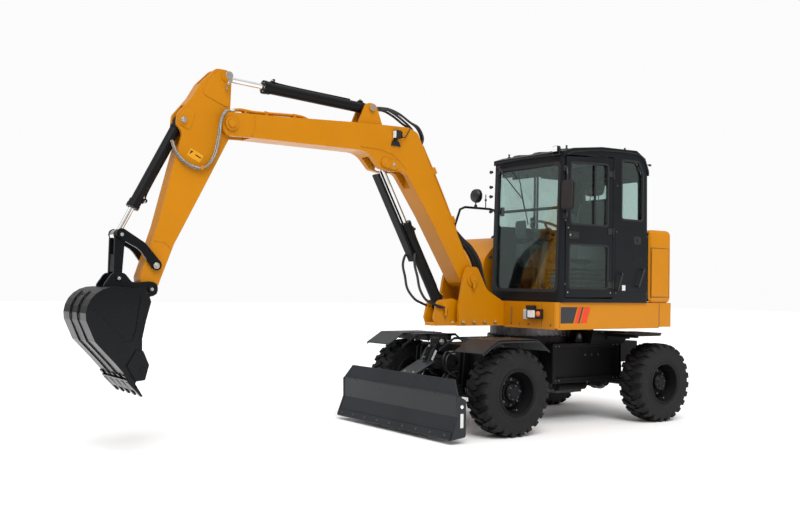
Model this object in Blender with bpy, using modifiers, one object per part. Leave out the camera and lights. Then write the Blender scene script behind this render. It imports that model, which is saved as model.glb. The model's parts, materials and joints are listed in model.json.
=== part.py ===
"""Wheeled excavator, about six tonnes: chassis on four driven wheels with a front blade,
slewing upper structure with cab, and a boom, arm and bucket moved by cylinders.

Metres, +X forward, +Y to the machine's left, +Z up.  Every place below is measured from the
point on the ground under the slew axis.  At the end the whole machine is shifted so that the
middle of its own box stands on the origin.
"""
import math

import bmesh
import bpy
from mathutils import Matrix, Vector

# ------------------------------------------------------------------ driving sizes (metres)
SKIN = 0.0003            # gap left between pieces that touch
PLAY = 0.006             # gap between pieces that move past each other
PIN_PLAY = 0.0012        # gap round a pin in its bore

# undercarriage
FRONT_AXLE_X = 0.99
REAR_AXLE_X = -1.11
HALF_TRACK = 0.80
TYRE_RADIUS = 0.415
TYRE_WIDTH = 0.305
RIM_RADIUS = 0.2095
RIM_WIDTH = 0.265
HUB_RADIUS = 0.085
WHEEL_STEPS = 28         # flats round a tyre and its rim
PINION_DROP = 0.055      # propeller shafts sit this far below the axles
PINION_REACH = 0.19
KINGPIN_Y = 0.62
AXLE_TUBE_RADIUS = 0.072
DIFF_RADIUS = 0.150
STEER_ARM = 0.13         # kingpin to tie point
YOKE_WALL = 0.07         # yoke's upright, front to back
FRAME_BOTTOM = 0.42
FRAME_TOP = 0.83
FRAME_HALF_WIDTH = 0.50
FRAME_NECK_HALF = 0.30   # narrow parts over the axles
FRAME_FRONT_X = 1.12
FRAME_REAR_X = -1.42
BELLY_FRONT_X = 0.12     # wide middle box of the frame
BELLY_REAR_X = -0.92
FENDER_TOP = 0.910
FENDER_PLATE = 0.010
FENDER_INNER_Y = 0.544
FENDER_OUTER_Y = 0.955

# blade
BLADE_HALF_WIDTH = 0.96
BLADE_EDGE_X = 1.79
BLADE_EDGE_Z = 0.04
BLADE_HINGE = (1.15, 0.40)
BLADE_CYL_TOP = (1.22, 0.85)
BLADE_CYL_EYE = (1.46, 0.42)
BLADE_ARM_Y = 0.35

# upper structure
DECK_BOTTOM = 1.007
DECK_TOP = 1.261
DECK_HALF_WIDTH = 0.93
DECK_FRONT_X = 0.50
TAIL_SIDE_X = -1.21
TAIL_MIDDLE_X = -1.62
COUNTERWEIGHT_X = -1.02
SLEW_RING_RADIUS = 0.40
HOOD_FRONT_X = -0.875
HOOD_TOP = 2.03
SHEET = 0.030            # depth of hood and cover panels
RIGHT_HOOD_TOP = 1.95
RIGHT_HOOD_INNER_Y = -0.24
CAB_RIGHT_Y = -0.09
CAB_LEFT_Y = 0.95
CAB_FRONT_X = 0.46
CAB_REAR_X = -0.83
CAB_FLOOR_TOP = 1.300
CAB_WALL = 0.050
CAB_CORNER = 0.045
ROOF_DEPTH = 0.050
DOOR_REAR_X = -0.272
DOOR_FRONT_X = 0.402

# digging gear, all pins as (x, z) in the boom's plane
BOOM_FOOT = (0.92, 1.475)
BOOM_NOSE = (3.55, 2.75)
BOOM_CYL_FOOT = (1.20, 1.20)
BOOM_CYL_EYE = (1.945, 2.55)
ARM_CYL_FOOT = (2.10, 3.07)
ARM_CYL_EYE = (3.59, 3.15)
BUCKET_CYL_FOOT = (3.966, 2.738)
LINK_TOP = (4.467, 1.765)
GUIDE_PIN = (4.18, 1.525)
BUCKET_PIN = (4.215, 1.335)
BUCKET_LINK_PIN = (4.48, 1.418)
BOOM_HALF = 0.115
BOOM_FOOT_HALF = 0.140
BRACKET_PLATE = 0.035
ARM_HALF = 0.075
EAR_PLATE = 0.025
BUCKET_HALF = 0.300
BUCKET_SHEET = 0.018
PIN_RADIUS = 0.030
BOOM_CYL_BORE = 0.056    # outer radius of the boom cylinder's barrel
BORE_START = 0.10        # foot pin to the closed end of a barrel's bore

SIDES = (("left", 1), ("right", -1))

# ------------------------------------------------------------------ finishes
FINISHES = {
    "yellow_paint": ((0.67, 0.25, 0.004), 0.35, 0.0),
    "black_paint": ((0.018, 0.019, 0.021), 0.45, 0.0),
    "grey_paint": ((0.050, 0.054, 0.060), 0.50, 0.0),
    "gloss_black": ((0.010, 0.010, 0.012), 0.25, 0.0),
    "tyre": ((0.012, 0.012, 0.012), 0.85, 0.0),
    "chrome": ((0.80, 0.80, 0.80), 0.12, 1.0),
    "cast_iron": ((0.08, 0.08, 0.08), 0.60, 0.8),
    "glass": ((0.55, 0.70, 0.65), 0.05, 0.0),
    "seat_fabric": ((0.10, 0.10, 0.11), 0.90, 0.0),
    "grey_plastic": ((0.12, 0.12, 0.12), 0.60, 0.0),
}


def finish(name):
    """The Principled material of one finish, made once."""
    material = bpy.data.materials.get(name)
    if material is None:
        colour, roughness, metallic = FINISHES[name]
        material = bpy.data.materials.new(name)
        material.use_nodes = True
        shader = material.node_tree.nodes["Principled BSDF"]
        shader.inputs["Base Color"].default_value = (*colour, 1.0)
        shader.inputs["Roughness"].default_value = roughness
        shader.inputs["Metallic"].default_value = metallic
    return material


# ------------------------------------------------------------------ outlines
def arc(centre, radius, start, end, steps=6):
    """Points on a circle from start to end, in degrees."""
    points = []
    for step in range(steps + 1):
        angle = math.radians(start + (end - start) * step / steps)
        points.append((centre[0] + radius * math.cos(angle), centre[1] + radius * math.sin(angle)))
    return points


def circle(centre, radius, steps=20):
    return arc(centre, radius, 0, 360, steps)[:-1]


def rounded(corners):
    """An outline whose corners (u, v, radius) are turned into arcs; radius may be left out."""
    points = []
    count = len(corners)
    for index, corner in enumerate(corners):
        here = Vector(corner[:2])
        radius = corner[2] if len(corner) > 2 else 0.0
        if radius == 0.0:
            points.append(tuple(here))
            continue
        before = (Vector(corners[index - 1][:2]) - here).normalized()
        after = (Vector(corners[(index + 1) % count][:2]) - here).normalized()
        half_angle = before.angle(after) / 2
        reach = radius / math.tan(half_angle)
        middle = here + (before + after).normalized() * radius / math.sin(half_angle)
        first = here + before * reach - middle
        turn = first.angle_signed(here + after * reach - middle)
        steps = 2 if radius < 0.055 else 4
        for step in range(steps + 1):
            points.append(tuple(middle + Matrix.Rotation(-turn * step / steps, 2) @ first))
    return points


def rectangle(low, high):
    return [low, (high[0], low[1]), high, (low[0], high[1])]


def between(first, second, share):
    """The point a share of the way from first to second."""
    return tuple(a + (b - a) * share for a, b in zip(first, second))


def beside(point, direction_from, direction_to, along, across):
    """A point given along and to the left of a line's direction."""
    line = (Vector(direction_to) - Vector(direction_from)).normalized()
    left = Vector((-line.y, line.x))
    return tuple(Vector(point) + line * along + left * across)


# ------------------------------------------------------------------ stock shapes
def stock(name, mesh, weld=0.00002):
    """A welded mesh as an object, its faces pointing out."""
    shape = bmesh.new()
    shape.from_mesh(mesh)
    bmesh.ops.remove_doubles(shape, verts=shape.verts, dist=weld)
    bmesh.ops.recalc_face_normals(shape, faces=shape.faces)
    shape.to_mesh(mesh)
    shape.free()
    item = bpy.data.objects.new(name, mesh)
    bpy.context.scene.collection.objects.link(item)
    return item


def evaluated_copy(item):
    """The object's mesh with its modifiers or bevels applied; the object itself is removed."""
    bpy.context.view_layer.update()
    graph = bpy.context.evaluated_depsgraph_get()
    mesh = bpy.data.meshes.new_from_object(item.evaluated_get(graph))
    mesh.transform(item.matrix_world)
    bpy.data.objects.remove(item)
    return mesh


TURNS = {
    "xy": Matrix.Identity(4),
    "xz": Matrix.Rotation(math.radians(90), 4, "X"),
    "yz": Matrix.Rotation(math.radians(90), 4, "Z") @ Matrix.Rotation(math.radians(90), 4, "X"),
}


def plate(outline, plane, low, high, holes=()):
    """A flat outline in a plane, filled and given its thickness from low to high."""
    curve = bpy.data.curves.new("outline", "CURVE")
    curve.dimensions = "2D"
    curve.fill_mode = "BOTH"
    curve.extrude = (high - low) / 2
    for ring in (outline, *holes):
        spline = curve.splines.new("POLY")
        spline.points.add(len(ring) - 1)
        for point, place in zip(spline.points, ring):
            point.co = (place[0], place[1], 0, 1)
        spline.use_cyclic_u = True
    item = bpy.data.objects.new("outline", curve)
    bpy.context.scene.collection.objects.link(item)
    item.matrix_world = TURNS[plane]
    mesh = evaluated_copy(item)
    middle = (low + high) / 2
    offset = {"xy": (0, 0, middle), "xz": (0, middle, 0), "yz": (middle, 0, 0)}[plane]
    mesh.transform(Matrix.Translation(offset))
    return stock("plate", mesh)


def soften(item, radius, wanted, steps=3):
    """Round the edges of a plain solid whose two ends wanted() picks."""
    shape = bmesh.new()
    shape.from_mesh(item.data)
    bmesh.ops.dissolve_limit(shape, angle_limit=math.radians(1), verts=shape.verts, edges=shape.edges)
    edges = [edge for edge in shape.edges if wanted(*(vert.co for vert in edge.verts))]
    bmesh.ops.bevel(shape, geom=edges, offset=radius, segments=steps, affect="EDGES", profile=0.5)
    bmesh.ops.triangulate(shape, faces=[face for face in shape.faces if len(face.verts) > 4])
    shape.to_mesh(item.data)
    shape.free()
    return item


def box(low, high):
    """A box between two corners."""
    shape = bmesh.new()
    size = Vector(high) - Vector(low)
    place = Matrix.Translation((Vector(high) + Vector(low)) / 2) @ Matrix.Diagonal((*size, 1))
    bmesh.ops.create_cube(shape, size=1.0, matrix=place)
    mesh = bpy.data.meshes.new("box")
    shape.to_mesh(mesh)
    shape.free()
    return stock("box", mesh)


def bar(start, end, radius, end_radius=None, sides=16):
    """A round bar, or a cone, between two points."""
    start, end = Vector(start), Vector(end)
    line = end - start
    turn = line.to_track_quat("Z", "Y").to_matrix().to_4x4()
    shape = bmesh.new()
    bmesh.ops.create_cone(
        shape, cap_ends=True, segments=sides, depth=line.length, radius1=radius,
        radius2=radius if end_radius is None else end_radius,
        matrix=Matrix.Translation((start + end) / 2) @ turn)
    mesh = bpy.data.meshes.new("bar")
    shape.to_mesh(mesh)
    shape.free()
    return stock("bar", mesh)


def cross_bar(pin, half, radius, low=None, sides=12):
    """A round bar across the machine at an (x, z) pin, from -half (or low) to half."""
    start = -half if low is None else low
    return bar((pin[0], start, pin[1]), (pin[0], half, pin[1]), radius, sides=sides)


def tube(points, radius, resolution=2):
    """A bent round tube through the points."""
    curve = bpy.data.curves.new("tube", "CURVE")
    curve.dimensions = "3D"
    curve.bevel_depth = radius
    curve.bevel_resolution = resolution
    curve.use_fill_caps = True
    spline = curve.splines.new("POLY")
    spline.points.add(len(points) - 1)
    for point, place in zip(spline.points, points):
        point.co = (*place, 1)
    item = bpy.data.objects.new("tube", curve)
    bpy.context.scene.collection.objects.link(item)
    return stock("tube", evaluated_copy(item))


def turned(profile, centre, outward=1, steps=32):
    """A ring turned about the machine's cross axis; the profile is (radius, outward place)."""
    mesh = bpy.data.meshes.new("profile")
    verts = [(radius, 0, place) for radius, place in profile]
    edges = [(index, (index + 1) % len(verts)) for index in range(len(verts))]
    mesh.from_pydata(verts, edges, [])
    item = bpy.data.objects.new("profile", mesh)
    bpy.context.scene.collection.objects.link(item)
    screw = item.modifiers.new("turn", "SCREW")
    screw.steps = steps
    screw.render_steps = steps
    screw.use_merge_vertices = True
    screw.merge_threshold = 0.00005
    # the turning axis +Z becomes +Y or -Y, whichever is outward
    item.matrix_world = (Matrix.Translation(centre)
                         @ Matrix.Rotation(math.radians(-90 * outward), 4, "X"))
    return stock("turned", evaluated_copy(item))


def combined(parts, cuts=(), solver="EXACT"):
    """All parts joined into one solid, then every cut taken away."""
    base = parts[0]
    for kind, tools in (("UNION", parts[1:]), ("DIFFERENCE", cuts)):
        for tool in tools:
            change = base.modifiers.new(kind.lower(), "BOOLEAN")
            change.operation = kind
            change.solver = solver
            change.object = tool
    mesh = evaluated_copy(base)
    for tool in (*parts[1:], *cuts):
        bpy.data.objects.remove(tool)
    return stock("solid", mesh, weld=0.0000005)


# ------------------------------------------------------------------ bodies and pieces
pivots = {}


def body(name, pivot, parent=None):
    """An empty on the body's joint axis, carried by its parent body's empty."""
    empty = bpy.data.objects.new("pivot_" + name, None)
    empty.empty_display_size = 0.15
    bpy.data.collections["wheeled_excavator"].objects.link(empty)
    if parent is None:
        empty.location = pivot
    else:
        empty.parent = pivots[parent][0]
        empty.location = Vector(pivot) - pivots[parent][1]
    pivots[name] = (empty, Vector(pivot))


def piece(name, on, finish_name, parts, cuts=(), smooth=30, solver="EXACT"):
    """One named sub-part: its shapes joined and cut, hung on its body's pivot."""
    item = combined(list(parts), list(cuts), solver)
    empty, pivot = pivots[on]
    item.name = name
    item.data.name = name
    item.data.transform(Matrix.Translation(-pivot))
    item.data.materials.clear()
    item.data.materials.append(finish(finish_name))
    item.data.shade_smooth()
    item.data.set_sharp_from_angle(angle=math.radians(smooth))
    bpy.context.scene.collection.objects.unlink(item)
    bpy.data.collections["wheeled_excavator"].objects.link(item)
    item.parent = empty
    return item


def across(pin, y=0.0):
    """An (x, z) pin as a point in space."""
    return (pin[0], y, pin[1])


# ------------------------------------------------------------------ undercarriage
def chassis_frame():
    """The wide middle box with recessed sides, a narrow neck over each axle, the rear wings,
    the turntable seat and the blade's hinge cheeks."""
    wide = box((BELLY_REAR_X, -FRAME_HALF_WIDTH, FRAME_BOTTOM),
               (BELLY_FRONT_X, FRAME_HALF_WIDTH, FRAME_TOP))
    neck_bottom = TYRE_RADIUS + DIFF_RADIUS + 0.025
    neck = box((FRAME_REAR_X, -FRAME_NECK_HALF, neck_bottom),
               (FRAME_FRONT_X, FRAME_NECK_HALF, FRAME_TOP - 0.01))
    front_wall = box((FRAME_FRONT_X - 0.04, -BLADE_ARM_Y - 0.05, neck_bottom - 0.03),
                     (FRAME_FRONT_X, BLADE_ARM_Y + 0.05, FRAME_TOP - 0.005))
    seat = bar((0, 0, FRAME_TOP - 0.05), (0, 0, 0.90), SLEW_RING_RADIUS + 0.03, sides=40)
    parts = [wide, neck, front_wall, seat]
    cuts = []
    rail, panel_depth = 0.05, 0.035
    for _, side in SIDES:
        face = side * FRAME_HALF_WIDTH
        depth = sorted((face - side * panel_depth, face + side * 0.1))
        cuts.append(box((BELLY_REAR_X + rail, depth[0], FRAME_BOTTOM + rail),
                        (BELLY_FRONT_X - rail, depth[1], FRAME_TOP - rail)))
        for inner in (BLADE_ARM_Y - 0.045, BLADE_ARM_Y + 0.025):
            cheek = rounded([
                (FRAME_FRONT_X - 0.03, 0.80, 0.01), (1.18, 0.80, 0.03),
                (BLADE_HINGE[0] + 0.055, BLADE_HINGE[1] + 0.10, 0.03),
                (BLADE_HINGE[0] + 0.055, BLADE_HINGE[1] - 0.055, 0.05),
                (BLADE_HINGE[0] - 0.055, BLADE_HINGE[1] - 0.055, 0.03),
                (FRAME_FRONT_X - 0.03, BLADE_HINGE[1] + 0.02, 0.01)])
            low, high = sorted((side * inner, side * (inner + 0.02)))
            parts.append(plate(cheek, "xz", low, high))
        pin_ends = sorted((side * (BLADE_ARM_Y - 0.065), side * (BLADE_ARM_Y + 0.065)))
        parts.append(cross_bar(BLADE_HINGE, pin_ends[1], PIN_RADIUS, pin_ends[0]))
        # rear wing: a raised side box and the flat guard over the tyre
        wing_low, wing_high = sorted((side * 0.20, side * (FRAME_HALF_WIDTH + 0.02)))
        parts.append(plate(rounded([
            (-0.42, FRAME_TOP - 0.02), (-0.46, 0.955, 0.02), (-1.25, 0.93, 0.02),
            (-1.25, 0.91), (-1.02, 0.905, 0.05), (-0.93, FRAME_TOP - 0.02)]),
            "xz", wing_low, wing_high))
        guard = rounded([(-0.645, 0.30), (-0.645, FENDER_OUTER_Y, 0.02),
                         (-1.015, FENDER_OUTER_Y, 0.04), (-1.35, 0.70, 0.04), (-1.35, 0.30)])
        guard = [(x, side * y) for x, y in guard]
        parts.append(plate(guard, "xy", 0.914, 0.930))
    # clevis for the head of the blade cylinder
    for _, side in SIDES:
        ear = rounded([(FRAME_FRONT_X - 0.03, 0.70), (1.17, 0.72, 0.02),
                       (BLADE_CYL_TOP[0] + 0.04, BLADE_CYL_TOP[1] - 0.04, 0.03),
                       (BLADE_CYL_TOP[0] + 0.04, BLADE_CYL_TOP[1] + 0.04, 0.035),
                       (BLADE_CYL_TOP[0] - 0.04, BLADE_CYL_TOP[1] + 0.04, 0.035),
                       (FRAME_FRONT_X - 0.03, 0.80)])
        low, high = sorted((side * 0.042, side * 0.062))
        parts.append(plate(ear, "xz", low, high))
    parts.append(cross_bar(BLADE_CYL_TOP, 0.072, 0.020))
    piece("chassis_frame", "chassis", "black_paint", parts, cuts)


def front_fenders():
    """Bent plates over the steered wheels, each on two brackets from the frame's neck."""
    for name, side in SIDES:
        top = FENDER_TOP
        line = [(0.600, top - 0.105), (0.745, top), (1.245, top), (1.430, top - 0.112)]
        under = [(x, z - FENDER_PLATE) for x, z in reversed(line)]
        low, high = sorted((side * FENDER_INNER_Y, side * FENDER_OUTER_Y))
        parts = [plate(line + under, "xz", low, high)]
        for x in (0.80, 1.08):
            start, end = sorted((side * (FRAME_NECK_HALF + SKIN), side * (FENDER_INNER_Y + 0.25)))
            parts.append(box((x, start, top - 0.070), (x + 0.05, end, top - FENDER_PLATE / 2)))
        start, end = sorted((side * 0.40, side * (FENDER_INNER_Y + 0.02)))
        parts.append(box((0.78, start, top - 0.03), (1.20, end, top - FENDER_PLATE / 2)))
        piece("front_fender_" + name, "chassis", "grey_paint", parts)


def axle(name, x, steered):
    """Axle beam with its differential and, at the ends, kingpin yokes or hub carriers."""
    half = 0.545 if steered else 0.66
    parts = [bar((x, -half, TYRE_RADIUS), (x, half, TYRE_RADIUS), AXLE_TUBE_RADIUS, sides=24)]
    for end in (-1, 1):
        parts.append(bar((x, end * 0.145, TYRE_RADIUS), (x, -end * 0.02, TYRE_RADIUS),
                         0.080, DIFF_RADIUS, sides=22))
    towards = -1 if steered else 1
    pinion = TYRE_RADIUS - PINION_DROP
    parts.append(bar((x, 0, pinion), (x + towards * PINION_REACH, 0, pinion), 0.085, 0.050))
    for _, side in SIDES:
        if steered:
            for low, high in ((-0.165, -0.130), (0.130, 0.165)):
                ends = sorted((side * 0.50, side * (KINGPIN_Y + 0.02)))
                shelf = box((x - 0.05, ends[0], TYRE_RADIUS + low),
                            (x + 0.05, ends[1], TYRE_RADIUS + high))
                nose = bar((x, side * KINGPIN_Y, TYRE_RADIUS + low),
                           (x, side * KINGPIN_Y, TYRE_RADIUS + high), 0.05)
                parts += [shelf, nose]
            ends = sorted((side * 0.50, side * 0.545))
            parts.append(box((x - YOKE_WALL / 2, ends[0], TYRE_RADIUS - 0.165),
                             (x + YOKE_WALL / 2, ends[1], TYRE_RADIUS + 0.165)))
        else:
            ends = (side * 0.62, side * 0.70)
            parts.append(bar((x, ends[0], TYRE_RADIUS), (x, ends[1], TYRE_RADIUS), 0.13, sides=24))
        # rigid mount pads up to the frame's neck
        pads = sorted((side * 0.17, side * 0.27))
        parts.append(box((x - 0.06, pads[0], TYRE_RADIUS),
                         (x + 0.06, pads[1], TYRE_RADIUS + DIFF_RADIUS + 0.025 - SKIN)))
    if steered:
        tie_x = x - STEER_ARM
        parts.append(bar((tie_x, -0.24, 0.315), (tie_x, 0.24, 0.315), 0.042))
        for _, side in SIDES:
            ends = sorted((side * 0.18, side * 0.22))
            parts.append(box((tie_x - 0.03, ends[0], 0.30), (x - 0.02, ends[1], TYRE_RADIUS)))
        bore = bar((tie_x, -0.30, 0.315), (tie_x, 0.30, 0.315), 0.018 + PIN_PLAY)
        piece(name, "chassis", "black_paint", parts, [bore], solver="MANIFOLD")
    else:
        piece(name, "chassis", "black_paint", parts)


def steering_rod():
    """The through rod of the steering cylinder, with a fork over each knuckle's arm."""
    tie_x = FRONT_AXLE_X - STEER_ARM
    parts = [bar((tie_x, -0.52, 0.315), (tie_x, 0.52, 0.315), 0.018)]
    for _, side in SIDES:
        ends = sorted((side * 0.485, side * 0.525))
        parts.append(box((tie_x - 0.02, ends[0], 0.275), (tie_x + 0.02, ends[1], 0.355)))
        ends = sorted((side * 0.52, side * 0.60))
        for low in (0.275, 0.343):
            parts.append(box((tie_x - 0.02, ends[0], low), (tie_x + 0.02, ends[1], low + 0.012)))
    piece("steering_rod", "steering_rod", "chrome", parts)


def knuckles():
    """Steering knuckles between the yoke's shelves, with a spindle and a rearward arm."""
    for name, side in SIDES:
        x, z = FRONT_AXLE_X, TYRE_RADIUS
        king = side * KINGPIN_Y
        parts = [bar((x, king, z - 0.124), (x, king, z + 0.124), 0.045)]
        inner, outer = side * (KINGPIN_Y - 0.02), side * 0.70
        parts.append(bar((x, inner, z), (x, outer, z), 0.11, sides=24))
        arm = rounded([(x - STEER_ARM - 0.025, 0.56, 0.02), (x - STEER_ARM + 0.03, 0.566, 0.02),
                       (x + 0.03, 0.60), (x + 0.03, 0.635), (x - STEER_ARM - 0.025, 0.605, 0.02)])
        arm = [(u, side * v) for u, v in arm]
        parts.append(plate(arm, "xy", 0.300, 0.330))
        # the arm's root rises to the knuckle's barrel
        ends = sorted((side * 0.600, side * 0.635))
        parts.append(box((x - 0.04, ends[0], 0.305), (x + 0.03, ends[1], z)))
        piece("knuckle_" + name, "knuckle_" + name, "black_paint", parts)


def wheel(corner, side, x, on):
    """One tyre and its deep-dished rim with the hub drum."""
    centre = (x, side * HALF_TRACK, TYRE_RADIUS)
    half, bead = TYRE_WIDTH / 2, RIM_WIDTH / 2
    shoulder = TYRE_RADIUS - 0.035
    bore = RIM_RADIUS + SKIN
    profile = [(bore, -bead), (bore + 0.05, -half + 0.006), (shoulder, -half + 0.004),
               (TYRE_RADIUS - 0.004, -half + 0.045), (TYRE_RADIUS, 0),
               (TYRE_RADIUS - 0.004, half - 0.045), (shoulder, half - 0.004),
               (bore + 0.05, half - 0.006), (bore, bead)]
    piece("tyre_" + corner, on, "tyre", [turned(profile, centre, side, WHEEL_STEPS)], smooth=50)
    barrel = RIM_RADIUS - 0.012
    disc, disc_depth = 0.020, 0.014
    spindle = HUB_RADIUS - 0.02
    rim = [(RIM_RADIUS, bead), (barrel, bead), (barrel, disc + disc_depth),
           (spindle, disc + disc_depth), (spindle, disc), (barrel, disc), (barrel, -bead),
           (RIM_RADIUS, -bead)]
    drum_in, drum_out = side * (HALF_TRACK - 0.085), side * (HALF_TRACK + 0.085)
    drum = bar((x, drum_in, TYRE_RADIUS), (x, drum_out, TYRE_RADIUS), HUB_RADIUS, sides=20)
    piece("rim_" + corner, on, "black_paint", [turned(rim, centre, side, WHEEL_STEPS), drum])


def wheels():
    for name, side in SIDES:
        wheel("front_" + name, side, FRONT_AXLE_X, "wheel_front_" + name)
        wheel("rear_" + name, side, REAR_AXLE_X, "wheel_rear_" + name)


def drive_line():
    """Gearbox under the frame and the shafts to both axles."""
    height = TYRE_RADIUS - PINION_DROP
    gearbox = box((-0.66, -0.17, 0.27), (-0.28, 0.17, FRAME_BOTTOM - SKIN))
    front = bar((-0.30, 0, height), (FRONT_AXLE_X - PINION_REACH - SKIN, 0, height), 0.028)
    rear = bar((REAR_AXLE_X + PINION_REACH + SKIN, 0, height), (-0.60, 0, height), 0.028)
    parts = [gearbox, front, rear]
    for x in (-0.25, FRONT_AXLE_X - 0.24, REAR_AXLE_X + 0.24):
        parts.append(bar((x - 0.035, 0, height), (x + 0.035, 0, height), 0.042))
    piece("drive_line", "chassis", "cast_iron", parts)


def slew_ring():
    """Bearing ring bolted between the turntable seat and the deck."""
    outer = circle((0, 0), SLEW_RING_RADIUS, 40)
    inner = circle((0, 0), SLEW_RING_RADIUS - 0.09, 40)
    piece("slew_ring", "chassis", "cast_iron",
          [plate(outer, "xy", 0.90 + SKIN, DECK_BOTTOM - SKIN, [inner])])


# ------------------------------------------------------------------ blade
def blade():
    """Folded mouldboard with a spill lip, end plates, back box and two push arms."""
    face = [(BLADE_EDGE_X, BLADE_EDGE_Z), (BLADE_EDGE_X - 0.025, BLADE_EDGE_Z + 0.065),
            (BLADE_EDGE_X - 0.077, 0.240), (BLADE_EDGE_X - 0.072, 0.435)]
    skin = 0.014
    back = [(x - skin, z) for x, z in reversed(face)]
    inside = BLADE_HALF_WIDTH - 0.008
    board = plate(face + back, "xz", -inside, inside)
    lip_low = (BLADE_EDGE_X - 0.072, 0.430)
    lip_high = (BLADE_EDGE_X - 0.115, 0.565)
    lip_outline = [(-inside + 0.004, 0.40), (inside - 0.004, 0.40), (inside - 0.004, 0.432),
                   (inside - 0.13, 0.60), (-inside + 0.13, 0.60), (-inside + 0.004, 0.432)]
    lip = plate([lip_low, (lip_low[0] - skin + 0.001, lip_low[1] - 0.004),
                 (lip_high[0] - skin, lip_high[1]), lip_high], "xz", -inside, inside)
    trim = plate(lip_outline, "yz", 1.55, 1.85)
    lip.modifiers.new("trim", "BOOLEAN").operation = "INTERSECT"
    lip.modifiers["trim"].object = trim
    lip = stock("lip", evaluated_copy(lip))
    bpy.data.objects.remove(trim)
    parts = [board, lip]
    for _, side in SIDES:
        end = rounded([(BLADE_EDGE_X + 0.002, BLADE_EDGE_Z + 0.001, 0.01),
                       (BLADE_EDGE_X - 0.074, 0.240), (BLADE_EDGE_X - 0.069, 0.438, 0.01),
                       (BLADE_EDGE_X - 0.165, 0.385, 0.01),
                       (BLADE_EDGE_X - 0.165, BLADE_EDGE_Z + 0.02, 0.02)])
        low, high = sorted((side * (BLADE_HALF_WIDTH - 0.016), side * BLADE_HALF_WIDTH))
        parts.append(plate(end, "xz", low, high))
        arm = rounded([(BLADE_EDGE_X - 0.085, 0.36), (1.50, 0.44, 0.06),
                       (BLADE_HINGE[0] + 0.02, BLADE_HINGE[1] + 0.048, 0.02),
                       (BLADE_HINGE[0] - 0.048, BLADE_HINGE[1] + 0.048, 0.04),
                       (BLADE_HINGE[0] - 0.048, BLADE_HINGE[1] - 0.048, 0.04),
                       (BLADE_HINGE[0] + 0.02, BLADE_HINGE[1] - 0.048, 0.02),
                       (1.50, 0.20, 0.08), (BLADE_EDGE_X - 0.085, 0.16)])
        low, high = sorted((side * (BLADE_ARM_Y - 0.018), side * (BLADE_ARM_Y + 0.018)))
        parts.append(plate(arm, "xz", low, high))
    # back box along the board and the cross tube with the cylinder's ears
    parts.append(box((1.62, -0.80, 0.13), (BLADE_EDGE_X - 0.080, 0.80, 0.22)))
    parts.append(bar((1.46, -BLADE_ARM_Y, 0.30), (1.46, BLADE_ARM_Y, 0.30), 0.045, sides=16))
    for _, side in SIDES:
        ear = rounded([(1.42, 0.28), (1.66, 0.24), (1.70, 0.36, 0.02),
                       (BLADE_CYL_EYE[0] + 0.04, BLADE_CYL_EYE[1] + 0.04, 0.035),
                       (BLADE_CYL_EYE[0] - 0.04, BLADE_CYL_EYE[1] + 0.04, 0.035)])
        low, high = sorted((side * 0.045, side * 0.065))
        parts.append(plate(ear, "xz", low, high))
    bores = [cross_bar(BLADE_HINGE, 0.5, PIN_RADIUS + PIN_PLAY)]
    piece("blade", "blade", "grey_paint", parts, bores)


# ------------------------------------------------------------------ cylinders
def cylinder(name, foot, eye, barrel_length, bore_radius, rod_radius, foot_half, eye_half,
             foot_pin, on_barrel, on_rod, retract):
    """A ram in the boom's plane: barrel hung on its foot pin, chromed rod with its eye.
    The rod can go in by retract before its tail meets the end of the bore."""
    head = between(foot, eye, barrel_length / math.dist(foot, eye))
    start = between(foot, eye, 0.035 / math.dist(foot, eye))
    parts = [bar(across(start), across(head), bore_radius, sides=24),
             cross_bar(foot, foot_half, foot_pin + 0.022)]
    gland = between(foot, eye, (barrel_length - 0.05) / math.dist(foot, eye))
    parts.append(bar(across(gland), across(head), bore_radius + 0.006, sides=24))
    rod_bore = bar(across(between(foot, eye, BORE_START / math.dist(foot, eye))),
                   across(between(foot, eye, (barrel_length + 0.1) / math.dist(foot, eye))),
                   rod_radius + PIN_PLAY)
    pin_bore = cross_bar(foot, foot_half + 0.1, foot_pin + PIN_PLAY)
    piece(name + "_barrel", on_barrel, "black_paint", parts, [rod_bore, pin_bore])
    tail = between(foot, eye, (BORE_START + retract + PLAY) / math.dist(foot, eye))
    rod = [bar(across(tail), across(eye), rod_radius),
           cross_bar(eye, eye_half, rod_radius + 0.022)]
    piece(name + "_rod", on_rod, "chrome", rod,
          [cross_bar(eye, eye_half + 0.1, rod_radius - 0.004)])


def rod_guard():
    """Plate in front of the boom cylinder's rod; it is held at the eye and slides over the
    barrel's front as the rod goes in."""
    foot, eye = BOOM_CYL_FOOT, BOOM_CYL_EYE
    reach = math.dist(foot, eye)
    near, far = BOOM_CYL_BORE + 0.014, BOOM_CYL_BORE + 0.040
    corners = [beside(foot, foot, eye, along, -out)
               for along, out in ((reach - 0.99, near), (reach - 0.99, far),
                                  (reach - 0.06, far), (reach - 0.06, near))]
    piece("rod_guard", "boom_rod", "black_paint", [plate(corners, "xz", -0.050, 0.050)])


# ------------------------------------------------------------------ upper structure
def tail_arc():
    """The counterweight's round back, from the left corner to the right one."""
    centre_x = (TAIL_SIDE_X ** 2 + DECK_HALF_WIDTH ** 2 - TAIL_MIDDLE_X ** 2) / (
        2 * (TAIL_SIDE_X - TAIL_MIDDLE_X))
    radius = centre_x - TAIL_MIDDLE_X
    corner = math.degrees(math.atan2(DECK_HALF_WIDTH, TAIL_SIDE_X - centre_x))
    return arc((centre_x, 0), radius, corner, 360 - corner, 16)


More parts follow.
